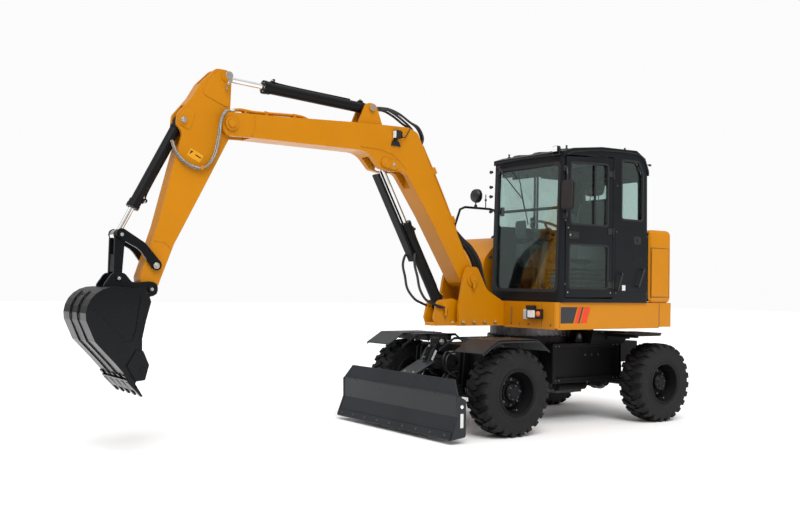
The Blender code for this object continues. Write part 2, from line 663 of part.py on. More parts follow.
def deck():
    """Main platform of the upper structure, ahead of the counterweight."""
    outline = rounded([(DECK_FRONT_X, DECK_HALF_WIDTH, 0.02), (DECK_FRONT_X, -DECK_HALF_WIDTH, 0.02),
                       (COUNTERWEIGHT_X, -DECK_HALF_WIDTH), (COUNTERWEIGHT_X, DECK_HALF_WIDTH)])
    piece("deck", "upper", "yellow_paint", [plate(outline, "xy", DECK_BOTTOM, DECK_TOP)])


def counterweight():
    """Cast block behind the deck, rounded to the tail radius."""
    outline = [(COUNTERWEIGHT_X - SKIN, DECK_HALF_WIDTH), *tail_arc(),
               (COUNTERWEIGHT_X - SKIN, -DECK_HALF_WIDTH)]
    piece("counterweight", "upper", "yellow_paint", [plate(outline, "xy", DECK_BOTTOM, DECK_TOP)])


def boom_bracket():
    """Two tall cheeks that hold the boom's foot, with a low nose for the boom cylinder."""
    inner = BOOM_FOOT_HALF + PLAY
    outer = inner + BRACKET_PLATE
    base = DECK_BOTTOM + 0.002
    parts = []
    for _, side in SIDES:
        cheek = rounded([
            (1.09, base), (1.09, 1.20, 0.05), (1.03, 1.50, 0.10), (0.99, 1.60, 0.05),
            (0.86, 1.60, 0.06), (0.73, 1.37, 0.15), (0.56, DECK_TOP + 0.02, 0.04),
            (DECK_FRONT_X + SKIN, DECK_TOP - 0.01), (DECK_FRONT_X + SKIN, base)])
        low, high = sorted((side * inner, side * outer))
        parts.append(plate(cheek, "xz", low, high))
        low, high = sorted((side * (inner - 0.004), side * (outer + 0.012)))
        parts.append(cross_bar(BOOM_FOOT, high, 0.075, low, sides=28))
        nose = rounded([(0.60, base), (1.30, base, 0.03), (1.335, 1.09, 0.04),
                        (1.29, 1.26, 0.05), (1.10, 1.28, 0.04), (0.70, 1.14, 0.03), (0.60, 1.14)])
        low, high = sorted((side * 0.060, side * 0.090))
        parts.append(plate(nose, "xz", low, high))
    parts.append(box((DECK_FRONT_X + SKIN, -outer + 0.001, base),
                     (1.085, outer - 0.001, base + 0.035)))
    parts.append(plate(rounded([(1.0, 0.10), (1.0, -0.10), (1.33, -0.085, 0.03),
                                (1.33, 0.085, 0.03)]), "xy", base, base + 0.035))
    parts.append(box((DECK_FRONT_X + SKIN, -outer + 0.001, base),
                     (DECK_FRONT_X + 0.04, outer - 0.001, DECK_TOP - 0.02)))
    parts.append(cross_bar(BOOM_FOOT, outer + 0.02, 0.036, sides=24))
    parts.append(cross_bar(BOOM_CYL_FOOT, 0.105, PIN_RADIUS))
    piece("boom_bracket", "upper", "yellow_paint", parts)


def engine_block():
    """Engine, one plain block crosswise under the rear hood."""
    piece("engine_block", "upper", "cast_iron",
          [box((-1.38, -0.42, DECK_TOP + SKIN), (-0.95, 0.38, 1.86))])


def hood_ring(shift):
    """The rear hood's plan, moved inwards by shift."""
    width = DECK_HALF_WIDTH - shift
    return [(HOOD_FRONT_X, width), *[(x * (1 - shift / 1.5), y * (1 - shift / 1.1))
                                     for x, y in tail_arc()], (HOOD_FRONT_X, -width)]


def engine_hood():
    """Rear hood: a shell open below and towards the cab."""
    outer = plate(hood_ring(0.012), "xy", DECK_TOP + 2 * SKIN, HOOD_TOP)
    bevel = outer.modifiers.new("round", "BEVEL")
    bevel.width = 0.05
    bevel.segments = 3
    bevel.limit_method = "ANGLE"
    bevel.angle_limit = math.radians(60)
    outer = stock("hood", evaluated_copy(outer))
    inner_ring = [(x + (0.2 if x > HOOD_FRONT_X - 0.01 else 0), y)
                  for x, y in hood_ring(0.012 + SHEET)]
    cut = plate(inner_ring, "xy", DECK_TOP - 0.1, HOOD_TOP - SHEET)
    piece("engine_hood", "engine_hood", "yellow_paint", [outer], [cut])


def right_hood():
    """Hood over the tanks on the right of the boom, domed at its front, open to the engine
    bay at its rear."""
    outline = rounded([(DECK_FRONT_X - 0.06, DECK_TOP + SKIN), (DECK_FRONT_X - 0.08, 1.70, 0.18),
                       (0.18, RIGHT_HOOD_TOP, 0.25), (HOOD_FRONT_X + 0.02, RIGHT_HOOD_TOP, 0.02),
                       (HOOD_FRONT_X + 0.02, DECK_TOP + SKIN)])
    inner = rounded([(DECK_FRONT_X - 0.06 - SHEET, DECK_TOP - 0.1),
                     (DECK_FRONT_X - 0.08 - SHEET, 1.69, 0.17),
                     (0.165, RIGHT_HOOD_TOP - SHEET, 0.23),
                     (HOOD_FRONT_X - 0.1, RIGHT_HOOD_TOP - SHEET),
                     (HOOD_FRONT_X - 0.1, DECK_TOP - 0.1)])
    piece("right_hood", "right_hood", "yellow_paint",
          [plate(outline, "xz", -DECK_HALF_WIDTH, RIGHT_HOOD_INNER_Y)],
          [plate(inner, "xz", -DECK_HALF_WIDTH + SHEET, RIGHT_HOOD_INNER_Y - SHEET)])


def fuel_tank():
    """Fuel and oil tanks under the right hood, one plain block."""
    piece("fuel_tank", "upper", "black_paint",
          [box((-0.70, -0.86, DECK_TOP + SKIN), (0.10, -0.32, 1.78))])


# ------------------------------------------------------------------ cab
def roof_line(drop=0.0):
    """The cab's top edge from front to back, seen from the side."""
    return [(CAB_FRONT_X - 0.035, 2.735 - drop), (CAB_FRONT_X - 0.16, 2.775 - drop),
            (-0.10, 2.822 - drop), (-0.62, 2.835 - drop), (-0.755, 2.765 - drop),
            (CAB_REAR_X + 0.015, 2.64 - drop)]


def cab_side(inset, bottom, drop):
    """The cab's side view, moved inwards by inset."""
    top = roof_line(drop)
    first, last = top[0], top[-1]
    points = [(CAB_REAR_X + inset, bottom), (CAB_FRONT_X - inset, bottom),
              (first[0] - inset, first[1])]
    points += top[1:-1]
    points.append((last[0] + inset, last[1]))
    return points


def cab_frame():
    """Welded frame: four pillars, the rear quarter, right and rear walls with window holes."""
    shell = plate(cab_side(0, CAB_FLOOR_TOP + SKIN, ROOF_DEPTH + SKIN), "xz", CAB_RIGHT_Y, CAB_LEFT_Y)

    def upright(first, second):
        return abs(first.y - second.y) < PLAY and abs(first.z - second.z) > 1.0

    soften(shell, CAB_CORNER, upright)
    hollow = plate(cab_side(CAB_WALL, CAB_FLOOR_TOP - 0.1, ROOF_DEPTH - 0.1), "xz",
                   CAB_RIGHT_Y + CAB_WALL, CAB_LEFT_Y - CAB_WALL)
    windscreen_hole = plate(rounded([(CAB_RIGHT_Y + 0.06, 1.37, 0.05), (CAB_LEFT_Y - 0.06, 1.37, 0.05),
                                     (CAB_LEFT_Y - 0.06, 2.63, 0.05), (CAB_RIGHT_Y + 0.06, 2.63, 0.05)]),
                            "yz", 0.30, 0.60)
    rear_hole = plate(rounded([(0.02, 2.06, 0.05), (0.84, 2.06, 0.05),
                               (0.84, 2.56, 0.05), (0.02, 2.56, 0.05)]), "yz", -1.0, -0.70)
    door_hole = plate([(DOOR_REAR_X, 1.25), (DOOR_FRONT_X + PLAY, 1.25),
                       (DOOR_FRONT_X + PLAY, 2.70), (DOOR_REAR_X, 2.735)],
                      "xz", CAB_LEFT_Y - 0.2, CAB_LEFT_Y + 0.1)
    quarter_hole = plate(rounded([(-0.735, 2.10, 0.04), (-0.388, 2.10, 0.04),
                                  (-0.388, 2.73, 0.04), (-0.665, 2.73, 0.05), (-0.735, 2.60, 0.04)]),
                         "xz", CAB_LEFT_Y - 0.2, CAB_LEFT_Y + 0.1)
    right_hole = plate(rounded([(-0.70, 2.02, 0.05), (0.38, 2.02, 0.05),
                                (0.36, 2.63, 0.05), (-0.66, 2.70, 0.05)]),
                       "xz", CAB_RIGHT_Y - 0.1, CAB_RIGHT_Y + 0.2)
    piece("cab_frame", "upper", "black_paint", [shell],
          [hollow, windscreen_hole, rear_hole, door_hole, quarter_hole, right_hole])


def cab_roof():
    """Pressed roof panel that follows the frame's top."""
    top, under = roof_line(), roof_line(ROOF_DEPTH)
    piece("cab_roof", "upper", "black_paint",
          [plate(top + under[::-1], "xz", CAB_RIGHT_Y, CAB_LEFT_Y)])


def cab_floor():
    """Floor plate under the whole cab."""
    outline = rounded([(x, y, CAB_CORNER) for x, y in rectangle((CAB_REAR_X, CAB_RIGHT_Y),
                                                                (CAB_FRONT_X, CAB_LEFT_Y))])
    piece("cab_floor", "upper", "black_paint",
          [plate(outline, "xy", DECK_TOP + SKIN, CAB_FLOOR_TOP)])


def cab_door():
    """Door hung at its rear edge, with an upper and a lower window hole."""
    front, rear = DOOR_FRONT_X - PLAY, DOOR_REAR_X + PLAY
    outline = [(rear, 1.315), (front, 1.315), (front, 2.685), (rear, 2.722)]
    upper = rounded([(rear + 0.06, 2.02, 0.04), (front - 0.05, 2.02, 0.04),
                     (front - 0.05, 2.635, 0.04), (rear + 0.06, 2.665, 0.04)])
    lower = rounded([(rear + 0.055, 1.39, 0.04), (front - 0.04, 1.39, 0.04),
                     (front - 0.04, 1.84, 0.04), (rear + 0.055, 1.84, 0.04)])
    piece("cab_door", "cab_door", "black_paint",
          [plate(outline, "xz", CAB_LEFT_Y - 0.040, CAB_LEFT_Y, [upper, lower])])


def cab_glass():
    """Panes set inside the window holes' edges: windscreen, right side and rear."""
    half = 0.003
    inset = 0.017
    lean = 0.035 / (2.735 - CAB_FLOOR_TOP)
    face = CAB_FRONT_X - CAB_WALL / 2
    low, high = 1.37 + inset, 2.63 - inset
    parts = [plate([(face - lean * (low - 1.3) - half, low), (face - lean * (low - 1.3) + half, low),
                    (face - lean * (high - 1.3) + half, high),
                    (face - lean * (high - 1.3) - half, high)],
                   "xz", CAB_RIGHT_Y + 0.06 + inset, CAB_LEFT_Y - 0.06 - inset)]
    piece("windscreen", "upper", "glass", parts)
    rear = CAB_REAR_X + CAB_WALL / 2
    piece("rear_window", "upper", "glass",
          [plate(rectangle((0.037, 2.077), (0.823, 2.543)), "yz", rear - half, rear + half)])
    side = CAB_RIGHT_Y + CAB_WALL / 2
    piece("right_window", "upper", "glass",
          [plate([(-0.68, 2.037), (0.362, 2.037), (0.342, 2.612), (-0.645, 2.678)],
                 "xz", side - half, side + half)])
    side = CAB_LEFT_Y - CAB_WALL / 2
    piece("quarter_window", "upper", "glass",
          [plate([(-0.718, 2.117), (-0.405, 2.117), (-0.405, 2.712), (-0.652, 2.712), (-0.718, 2.60)],
                 "xz", side - half, side + half)])
    rear_edge, front_edge = DOOR_REAR_X + PLAY + 0.06, DOOR_FRONT_X - PLAY - 0.05
    side = CAB_LEFT_Y - 0.020
    piece("door_window", "cab_door", "glass",
          [plate([(rear_edge + 0.016, 2.036), (front_edge - 0.016, 2.036),
                  (front_edge - 0.016, 2.618), (rear_edge + 0.016, 2.646)],
                 "xz", side - half, side + half)])


def cab_inside():
    """Seat on its box with consoles, cushion, backrest and the steering column."""
    floor = CAB_FLOOR_TOP + SKIN
    base = box((-0.50, 0.22, floor), (-0.08, 0.64, 1.66))
    left = box((-0.42, 0.66, 1.70), (0.06, 0.78, 1.86))
    right = box((-0.42, 0.08, 1.70), (0.06, 0.20, 1.86))
    shelf = box((-0.40, 0.10, 1.60), (-0.20, 0.76, 1.655))
    legs = [box((-0.38, y, 1.61), (-0.24, y + 0.06, 1.80)) for y in (0.11, 0.69)]
    piece("seat_base", "upper", "grey_plastic", [base, shelf, left, right, *legs])
    cushion = rounded([(-0.50, 0.23, 0.06), (-0.02, 0.23, 0.08), (-0.02, 0.63, 0.08),
                       (-0.50, 0.63, 0.06)])
    piece("seat_cushion", "upper", "seat_fabric",
          [plate(cushion, "xy", 1.66 + SKIN, 1.80)])
    back = rounded([(-0.50, 1.80 + SKIN), (-0.36, 1.80 + SKIN), (-0.47, 2.36, 0.05),
                    (-0.60, 2.36, 0.05)])
    piece("seat_backrest", "upper", "seat_fabric", [plate(back, "xz", 0.24, 0.62)])
    foot, top = (0.26, 0.43, floor + 0.05), (0.13, 0.43, 1.98)
    column = bar(foot, top, 0.045, 0.030)
    shoe = box((0.19, 0.36, floor), (0.33, 0.50, floor + 0.08))
    ring = turned([(0.185 + 0.014 * math.cos(math.radians(a)), 0.014 * math.sin(math.radians(a)))
                   for a in range(0, 360, 60)], (0, 0, 0), steps=32)
    lean = Matrix.Translation((0.125, 0.43, 2.00)) @ Matrix.Rotation(math.radians(-25), 4, "Y")
    ring.data.transform(Matrix.Rotation(math.radians(90), 4, "X"))
    ring.data.transform(lean)
    spokes = []
    for angle in (30, 150, 270):
        reach = Vector((0.18 * math.cos(math.radians(angle)), 0.18 * math.sin(math.radians(angle)), 0))
        spokes.append(bar((0.125, 0.43, 1.985), tuple(lean @ reach), 0.012, sides=8))
    hub = bar(tuple(lean @ Vector((0, 0, -0.035))), tuple(lean @ Vector((0, 0, 0.012))), 0.035)
    piece("steering_column", "upper", "grey_plastic", [column, shoe, hub, ring, *spokes],
          solver="MANIFOLD")


def mirrors():
    """Left mirror on the cab's front pillar; right rail and mirror on the right hood."""
    root = CAB_LEFT_Y + SKIN
    stalk = tube([(0.422, root, 2.10), (0.422, 0.985, 2.10), (0.435, 1.0, 2.13),
                  (0.435, 1.0, 2.50), (0.422, 0.985, 2.56), (0.422, root, 2.56)], 0.009)
    head = box((0.425, 0.975, 2.18), (0.455, 1.10, 2.42))
    piece("left_mirror", "upper", "black_paint", [stalk, head])
    y = -0.84
    path = [(-0.30, y, RIGHT_HOOD_TOP + SKIN), (-0.30, y, 2.22), (-0.24, y, 2.30), (-0.18, y, 2.31),
            (0.20, y, 2.31), (0.27, y, 2.28), (0.34, y, 2.10), (0.36, y, 1.95), (0.36, y, 1.80)]
    rail = tube(path, 0.014)
    post = tube([(0.04, y, 2.31), (0.04, y, 2.50)], 0.008)
    glass = bar((0.02, y, 2.45), (0.045, y, 2.45), 0.075, sides=24)
    piece("right_handrail", "right_hood", "black_paint", [rail, post, glass])


# ------------------------------------------------------------------ digging gear
def boom():
    """Box-section boom, bent at its knee, with a forked nose and ears for both cylinders."""
    foot, nose = BOOM_FOOT, BOOM_NOSE
    outline = rounded([
        (foot[0] - 0.055, foot[1] - 0.065, 0.06), (foot[0] + 0.085, foot[1] - 0.050, 0.06),
        (1.434, 2.090), (1.728, 2.50, 0.10),
        (BOOM_CYL_EYE[0] - 0.05, BOOM_CYL_EYE[1] - 0.065, 0.06),
        (BOOM_CYL_EYE[0] + 0.075, BOOM_CYL_EYE[1] - 0.045, 0.06),
        (2.16, 2.655, 0.20), (2.46, 2.655), (nose[0] - 0.16, 2.650, 0.10),
        (nose[0] + 0.075, nose[1] - 0.110, 0.08), (nose[0] + 0.090, nose[1] + 0.095, 0.08),
        (3.05, 2.868, 0.30), (2.20, 2.912), (1.70, 2.925, 0.15), (1.585, 2.885, 0.08),
        (1.45, 2.625), (foot[0] - 0.075, foot[1] + 0.03, 0.05)])
    body_plate = plate(outline, "xz", -BOOM_HALF, BOOM_HALF)
    parts = [body_plate, cross_bar(foot, BOOM_FOOT_HALF, 0.075, sides=28),
             cross_bar(BOOM_CYL_EYE, BOOM_HALF + 0.015, 0.045),
             cross_bar(nose, BOOM_HALF + 0.018, 0.060, sides=24)]
    for _, side in SIDES:
        ear = rounded([(1.96, 2.88), (2.26, 2.87), (ARM_CYL_FOOT[0] + 0.06, ARM_CYL_FOOT[1] + 0.045, 0.05),
                       (ARM_CYL_FOOT[0] - 0.05, ARM_CYL_FOOT[1] + 0.045, 0.05)])
        low, high = sorted((side * 0.050, side * 0.075))
        parts.append(plate(ear, "xz", low, high))
    parts.append(cross_bar(ARM_CYL_FOOT, 0.095, 0.026))
    fork = ARM_HALF + PLAY
    gap = plate([(nose[0] - 0.20, 2.3), (4.0, 2.3), (4.0, 3.2), (nose[0] - 0.20, 3.2)],
                "xz", -fork, fork)
    eye_slot = plate([(1.62, 2.20), (2.12, 2.30), (2.12, 2.70), (1.80, 2.78), (1.62, 2.60)],
                     "xz", -0.056, 0.056)
    foot_bore = cross_bar(foot, 0.3, 0.036 + PIN_PLAY, sides=24)
    nose_pin = cross_bar(nose, BOOM_HALF + 0.03, 0.034, sides=24)
    item = combined(parts, [gap, eye_slot, foot_bore], "MANIFOLD")
    piece("boom", "boom", "yellow_paint", [item, nose_pin], solver="MANIFOLD")


def arm():
    """Tapered box arm: cylinder ears at its top, pivot in the boom's fork, bucket end below."""
    top, nose = ARM_CYL_EYE, BOOM_NOSE
    outline = rounded([
        (top[0] - 0.055, top[1] + 0.055, 0.05), (top[0] - 0.045, 2.86), (nose[0] + 0.002, 2.62, 0.05),
        (3.77, 2.190), (4.02, 1.705), (BUCKET_PIN[0] - 0.060, BUCKET_PIN[1] + 0.010, 0.04),
        (BUCKET_PIN[0] + 0.005, BUCKET_PIN[1] - 0.062, 0.05),
        (BUCKET_PIN[0] + 0.070, BUCKET_PIN[1] + 0.015, 0.05),
        (4.300, 1.430), (4.165, 1.850), (3.965, 2.640, 0.08),
        (BUCKET_CYL_FOOT[0] + 0.055, BUCKET_CYL_FOOT[1] - 0.045, 0.04),
        (BUCKET_CYL_FOOT[0] + 0.045, BUCKET_CYL_FOOT[1] + 0.050, 0.04),
        (3.885, 2.945), (3.81, 3.075, 0.05), (3.68, top[1] + 0.060, 0.05)])
    parts = [plate(outline, "xz", -ARM_HALF, ARM_HALF),
             cross_bar(top, ARM_HALF + 0.012, 0.045), cross_bar(BUCKET_CYL_FOOT, 0.085, 0.045)]
    eye_slot = plate([(3.36, 3.30), (3.36, 2.98), (3.70, 2.96), (3.85, 3.10), (3.85, 3.30)],
                     "xz", -0.044, 0.044)
    foot_slot = plate([(3.915, 2.86), (3.90, 2.66), (4.10, 2.30), (4.30, 2.40), (4.10, 2.95)],
                      "xz", -0.044, 0.044)
    bores = [cross_bar(nose, 0.3, 0.034 + PIN_PLAY, sides=24),
             cross_bar(GUIDE_PIN, 0.3, 0.024 + PIN_PLAY),
             cross_bar(BUCKET_PIN, 0.3, PIN_RADIUS + PIN_PLAY)]
    item = combined(parts, [eye_slot, foot_slot, *bores], "MANIFOLD")
    pin = cross_bar(BUCKET_CYL_FOOT, 0.09, 0.024)
    piece("arm", "arm", "yellow_paint", [item, pin], solver="MANIFOLD")


def guide_links():
    """Pair of curved guide links joined by their pin through the arm."""
    inner = ARM_HALF + PLAY
    parts = []
    bow = beside(between(GUIDE_PIN, LINK_TOP, 0.5), GUIDE_PIN, LINK_TOP, 0, 0.045)
    for _, side in SIDES:
        outline = rounded([
            beside(GUIDE_PIN, GUIDE_PIN, LINK_TOP, -0.045, 0.045) + (0.04,),
            beside(bow, GUIDE_PIN, LINK_TOP, 0, 0.035) + (0.15,),
            beside(LINK_TOP, GUIDE_PIN, LINK_TOP, 0.045, 0.045) + (0.04,),
            beside(LINK_TOP, GUIDE_PIN, LINK_TOP, 0.045, -0.045) + (0.04,),
            beside(bow, GUIDE_PIN, LINK_TOP, 0, -0.035) + (0.15,),
            beside(GUIDE_PIN, GUIDE_PIN, LINK_TOP, -0.045, -0.045) + (0.04,)])
        low, high = sorted((side * inner, side * (inner + EAR_PLATE)))
        parts.append(plate(outline, "xz", low, high))
    parts.append(cross_bar(GUIDE_PIN, inner + EAR_PLATE + 0.012, 0.024))
    piece("guide_links", "guide_links", "gloss_black", parts,
          [cross_bar(LINK_TOP, 0.3, 0.020 + PIN_PLAY, sides=20)])


def bucket_link():
    """H-shaped link from the guide links' head down to the bucket."""
    parts = []
    for _, side in SIDES:
        outline = rounded([
            beside(LINK_TOP, LINK_TOP, BUCKET_LINK_PIN, -0.042, 0.042) + (0.038,),
            beside(BUCKET_LINK_PIN, LINK_TOP, BUCKET_LINK_PIN, 0.027, 0.032) + (0.026,),
            beside(BUCKET_LINK_PIN, LINK_TOP, BUCKET_LINK_PIN, 0.027, -0.032) + (0.026,),
            beside(LINK_TOP, LINK_TOP, BUCKET_LINK_PIN, -0.042, -0.042) + (0.038,)])
        low, high = sorted((side * 0.050, side * (ARM_HALF + 0.001)))
        parts.append(plate(outline, "xz", low, high))
        ends = sorted((side * 0.060, side * (ARM_HALF + PLAY + EAR_PLATE + 0.010)))
        parts.append(cross_bar(LINK_TOP, ends[1], 0.020, ends[0]))
    web_top = between(LINK_TOP, BUCKET_LINK_PIN, 0.45)
    web_low = between(LINK_TOP, BUCKET_LINK_PIN, 0.85)
    web = [beside(web_top, LINK_TOP, BUCKET_LINK_PIN, 0, 0.03),
           beside(web_low, LINK_TOP, BUCKET_LINK_PIN, 0, 0.03),
           beside(web_low, LINK_TOP, BUCKET_LINK_PIN, 0, -0.03),
           beside(web_top, LINK_TOP, BUCKET_LINK_PIN, 0, -0.03)]
    parts.append(plate(web, "xz", -0.055, 0.055))
    parts.append(cross_bar(BUCKET_LINK_PIN, 0.070, 0.027))
    piece("bucket_link", "bucket_link", "gloss_black", parts)


def bucket_shell_line(inset):
    """The bucket's wrap from its top plate round the heel to the lip."""
    return [(4.335 + inset * 0.5, 1.338 - inset), (4.56, 1.352 - inset),
            *arc((4.575, 1.135), 0.215 - inset, 80, -12, 6),
            (4.715 - inset, 0.930), (4.560 - inset * 0.8, 0.765 + inset * 0.6),
            (4.415 - inset * 0.2, 0.600 + inset * 0.9)]


def bucket():
    """Wrapped shell with side plates, hanger ears, cutting lip, teeth and side cutters."""
    outer = bucket_shell_line(0.0)
    mouth = [(4.395, 0.605), (4.350, 0.76, 0.05), (4.362, 0.95, 0.10), (4.330, 1.09, 0.15),
             (4.290, 1.24, 0.08), (4.320, 1.325)]
    side_outline = outer[:-1] + [(4.415, 0.600)] + rounded([(4.5, 0.5), *mouth, (4.5, 1.5)])[1:-1]
    solid = plate(side_outline, "xz", -BUCKET_HALF, BUCKET_HALF)
    inner = bucket_shell_line(BUCKET_SHEET)
    hollow_outline = inner + [(4.20, 0.55), (4.10, 0.90), (4.10, 1.345 - BUCKET_SHEET)]
    hollow = plate(hollow_outline, "xz", -BUCKET_HALF + BUCKET_SHEET, BUCKET_HALF - BUCKET_SHEET)
    shell = combined([solid], [hollow], "MANIFOLD")
    parts = [shell]
    ear_in = ARM_HALF + PLAY
    for _, side in SIDES:
        ear = rounded([
            (BUCKET_PIN[0] - 0.055, BUCKET_PIN[1] - 0.045, 0.045),
            (4.32, 1.25), (4.55, 1.26), (4.60, 1.36, 0.03),
            (BUCKET_LINK_PIN[0] + 0.05, BUCKET_LINK_PIN[1] + 0.045, 0.045),
            (BUCKET_LINK_PIN[0] - 0.045, BUCKET_LINK_PIN[1] + 0.045, 0.045),
            (4.37, 1.385, 0.04), (BUCKET_PIN[0] + 0.02, BUCKET_PIN[1] + 0.062, 0.04),
            (BUCKET_PIN[0] - 0.055, BUCKET_PIN[1] + 0.055, 0.045)])
        low, high = sorted((side * ear_in, side * (ear_in + EAR_PLATE)))
        parts.append(plate(ear, "xz", low, high))
        # side cutter bolted on the outer face
        cutter = rounded([(4.395, 0.62), (4.47, 0.74), (4.40, 0.86, 0.02), (4.345, 0.86, 0.02),
                          (4.295, 0.745, 0.01), (4.325, 0.628, 0.01)])
        low, high = sorted((side * (BUCKET_HALF - 0.004), side * (BUCKET_HALF + 0.014)))
        parts.append(plate(cutter, "xz", low, high))
    parts.append(cross_bar(BUCKET_PIN, ear_in + EAR_PLATE + 0.015, PIN_RADIUS))
    lip = [(4.44, 0.640), (4.425, 0.625), (4.375, 0.555), (4.392, 0.545), (4.47, 0.632)]
    parts.append(plate(lip, "xz", -BUCKET_HALF - 0.002, BUCKET_HALF + 0.002))
    tooth_gap = (2 * BUCKET_HALF - 0.05) / 4
    for index in range(5):
        y = -BUCKET_HALF + 0.025 + index * tooth_gap
        tooth = [(4.435, 0.648), (4.405, 0.615), (4.335, 0.502), (4.347, 0.497), (4.455, 0.610)]
        parts.append(plate(tooth, "xz", y - 0.022, y + 0.022))
    piece("bucket", "bucket", "gloss_black", parts, solver="MANIFOLD")


# ------------------------------------------------------------------ assembly
def clear_scene():
    for item in list(bpy.data.objects):
        bpy.data.objects.remove(item)
    collection = bpy.data.collections.new("wheeled_excavator")
    bpy.context.scene.collection.children.link(collection)


def set_up_bodies():
    """Every moving body's pivot; each sits on its joint's axis."""
    centre = TYRE_RADIUS
    body("chassis", (0, 0, 0))
    body("steering_rod", (FRONT_AXLE_X - STEER_ARM, 0, 0.315), "chassis")
    for name, side in SIDES:
        body("knuckle_" + name, (FRONT_AXLE_X, side * KINGPIN_Y, centre), "chassis")
        body("wheel_front_" + name, (FRONT_AXLE_X, side * HALF_TRACK, centre), "knuckle_" + name)
        body("wheel_rear_" + name, (REAR_AXLE_X, side * HALF_TRACK, centre), "chassis")
    body("blade", across(BLADE_HINGE), "chassis")
    body("blade_barrel", across(BLADE_CYL_TOP), "chassis")
    body("blade_rod", across(BLADE_CYL_EYE), "blade_barrel")
    body("upper", (0, 0, 0), "chassis")
    body("engine_hood", (HOOD_FRONT_X, 0, HOOD_TOP), "upper")
    body("right_hood", (HOOD_FRONT_X + 0.02, -0.5, RIGHT_HOOD_TOP), "upper")
    body("cab_door", (DOOR_REAR_X, CAB_LEFT_Y + 0.006, 2.0), "upper")
    body("boom", across(BOOM_FOOT), "upper")
    body("boom_barrel", across(BOOM_CYL_FOOT), "upper")
    body("boom_rod", across(BOOM_CYL_EYE), "boom_barrel")
    body("arm", across(BOOM_NOSE), "boom")
    body("arm_barrel", across(ARM_CYL_FOOT), "boom")
    body("arm_rod", across(ARM_CYL_EYE), "arm_barrel")
    body("bucket", across(BUCKET_PIN), "arm")
    body("bucket_barrel", across(BUCKET_CYL_FOOT), "arm")
    body("bucket_rod", across(LINK_TOP), "bucket_barrel")
    body("guide_links", across(GUIDE_PIN), "arm")
    body("bucket_link", across(LINK_TOP), "guide_links")


def stand_on_origin():
    """Shift the machine so that the middle of its box's base is the origin."""
    bpy.context.view_layer.update()
    corners = [item.matrix_world @ Vector(corner)
               for item in bpy.data.collections["wheeled_excavator"].objects
               if item.type == "MESH" for corner in item.bound_box]
    low = [min(corner[axis] for corner in corners) for axis in range(3)]
    high = [max(corner[axis] for corner in corners) for axis in range(3)]
    pivots["chassis"][0].location = (-(low[0] + high[0]) / 2, -(low[1] + high[1]) / 2, -low[2])
    bpy.context.view_layer.update()


def build():
    clear_scene()
    set_up_bodies()
    chassis_frame()
    front_fenders()
    axle("front_axle", FRONT_AXLE_X, steered=True)
    axle("rear_axle", REAR_AXLE_X, steered=False)
    steering_rod()
    knuckles()
    wheels()
    drive_line()
    slew_ring()
    blade()
    cylinder("blade_cylinder", BLADE_CYL_TOP, BLADE_CYL_EYE, 0.29, 0.040, 0.020, 0.036, 0.038,
             0.020, "blade_barrel", "blade_rod", retract=0.145)
    deck()
    counterweight()
    boom_bracket()
    engine_block()
    engine_hood()
    right_hood()
    fuel_tank()
    cab_frame()
    cab_roof()
    cab_floor()
    cab_door()
    cab_glass()
    cab_inside()
    mirrors()
    boom()
    cylinder("boom_cylinder", BOOM_CYL_FOOT, BOOM_CYL_EYE, 0.92, BOOM_CYL_BORE, 0.030, 0.052,
             0.050, PIN_RADIUS, "boom_barrel", "boom_rod", retract=0.41)
    rod_guard()
    arm()
    cylinder("arm_cylinder", ARM_CYL_FOOT, ARM_CYL_EYE, 1.10, 0.050, 0.026, 0.044, 0.038,
             0.026, "arm_barrel", "arm_rod", retract=0.34)
    cylinder("bucket_cylinder", BUCKET_CYL_FOOT, LINK_TOP, 0.835, 0.044, 0.024, 0.038, 0.044,
             0.024, "bucket_barrel", "bucket_rod", retract=0.15)
    guide_links()
    bucket_link()
    bucket()
    stand_on_origin()


build()
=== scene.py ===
"""Wheeled excavator: finishes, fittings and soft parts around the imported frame.

Metres.  Places are given from the ground point under the slew axis, +X forward, +Y to the
machine's left, +Z up; piece() shifts them into the frame.
"""
import json
import math

import bmesh
import bpy
from mathutils import Matrix, Vector


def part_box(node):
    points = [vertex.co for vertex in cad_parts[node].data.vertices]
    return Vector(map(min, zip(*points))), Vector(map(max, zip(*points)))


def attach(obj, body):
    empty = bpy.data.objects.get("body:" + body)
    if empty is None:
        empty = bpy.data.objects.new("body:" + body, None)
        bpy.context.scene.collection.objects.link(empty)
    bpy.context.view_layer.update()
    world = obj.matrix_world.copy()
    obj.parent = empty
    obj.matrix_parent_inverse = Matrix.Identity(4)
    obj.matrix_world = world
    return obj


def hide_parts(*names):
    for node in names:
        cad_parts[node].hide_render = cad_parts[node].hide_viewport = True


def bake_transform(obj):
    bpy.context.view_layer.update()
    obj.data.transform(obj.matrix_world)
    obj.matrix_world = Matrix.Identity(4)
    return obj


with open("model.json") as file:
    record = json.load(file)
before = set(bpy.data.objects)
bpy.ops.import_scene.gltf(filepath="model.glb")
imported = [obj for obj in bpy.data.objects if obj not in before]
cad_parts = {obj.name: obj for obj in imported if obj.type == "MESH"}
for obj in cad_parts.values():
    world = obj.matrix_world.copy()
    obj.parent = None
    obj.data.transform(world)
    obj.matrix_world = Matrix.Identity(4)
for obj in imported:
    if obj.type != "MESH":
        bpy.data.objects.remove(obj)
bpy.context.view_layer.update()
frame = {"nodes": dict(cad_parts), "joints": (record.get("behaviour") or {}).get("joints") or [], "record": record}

NODES = frame["nodes"]
JOINTS = {joint["name"]: joint for joint in frame["joints"]}
SLEW_AXIS = Vector(JOINTS["slew"]["pos_m"]) * Vector((1, 1, 0))
SIDES = (("left", 1), ("right", -1))


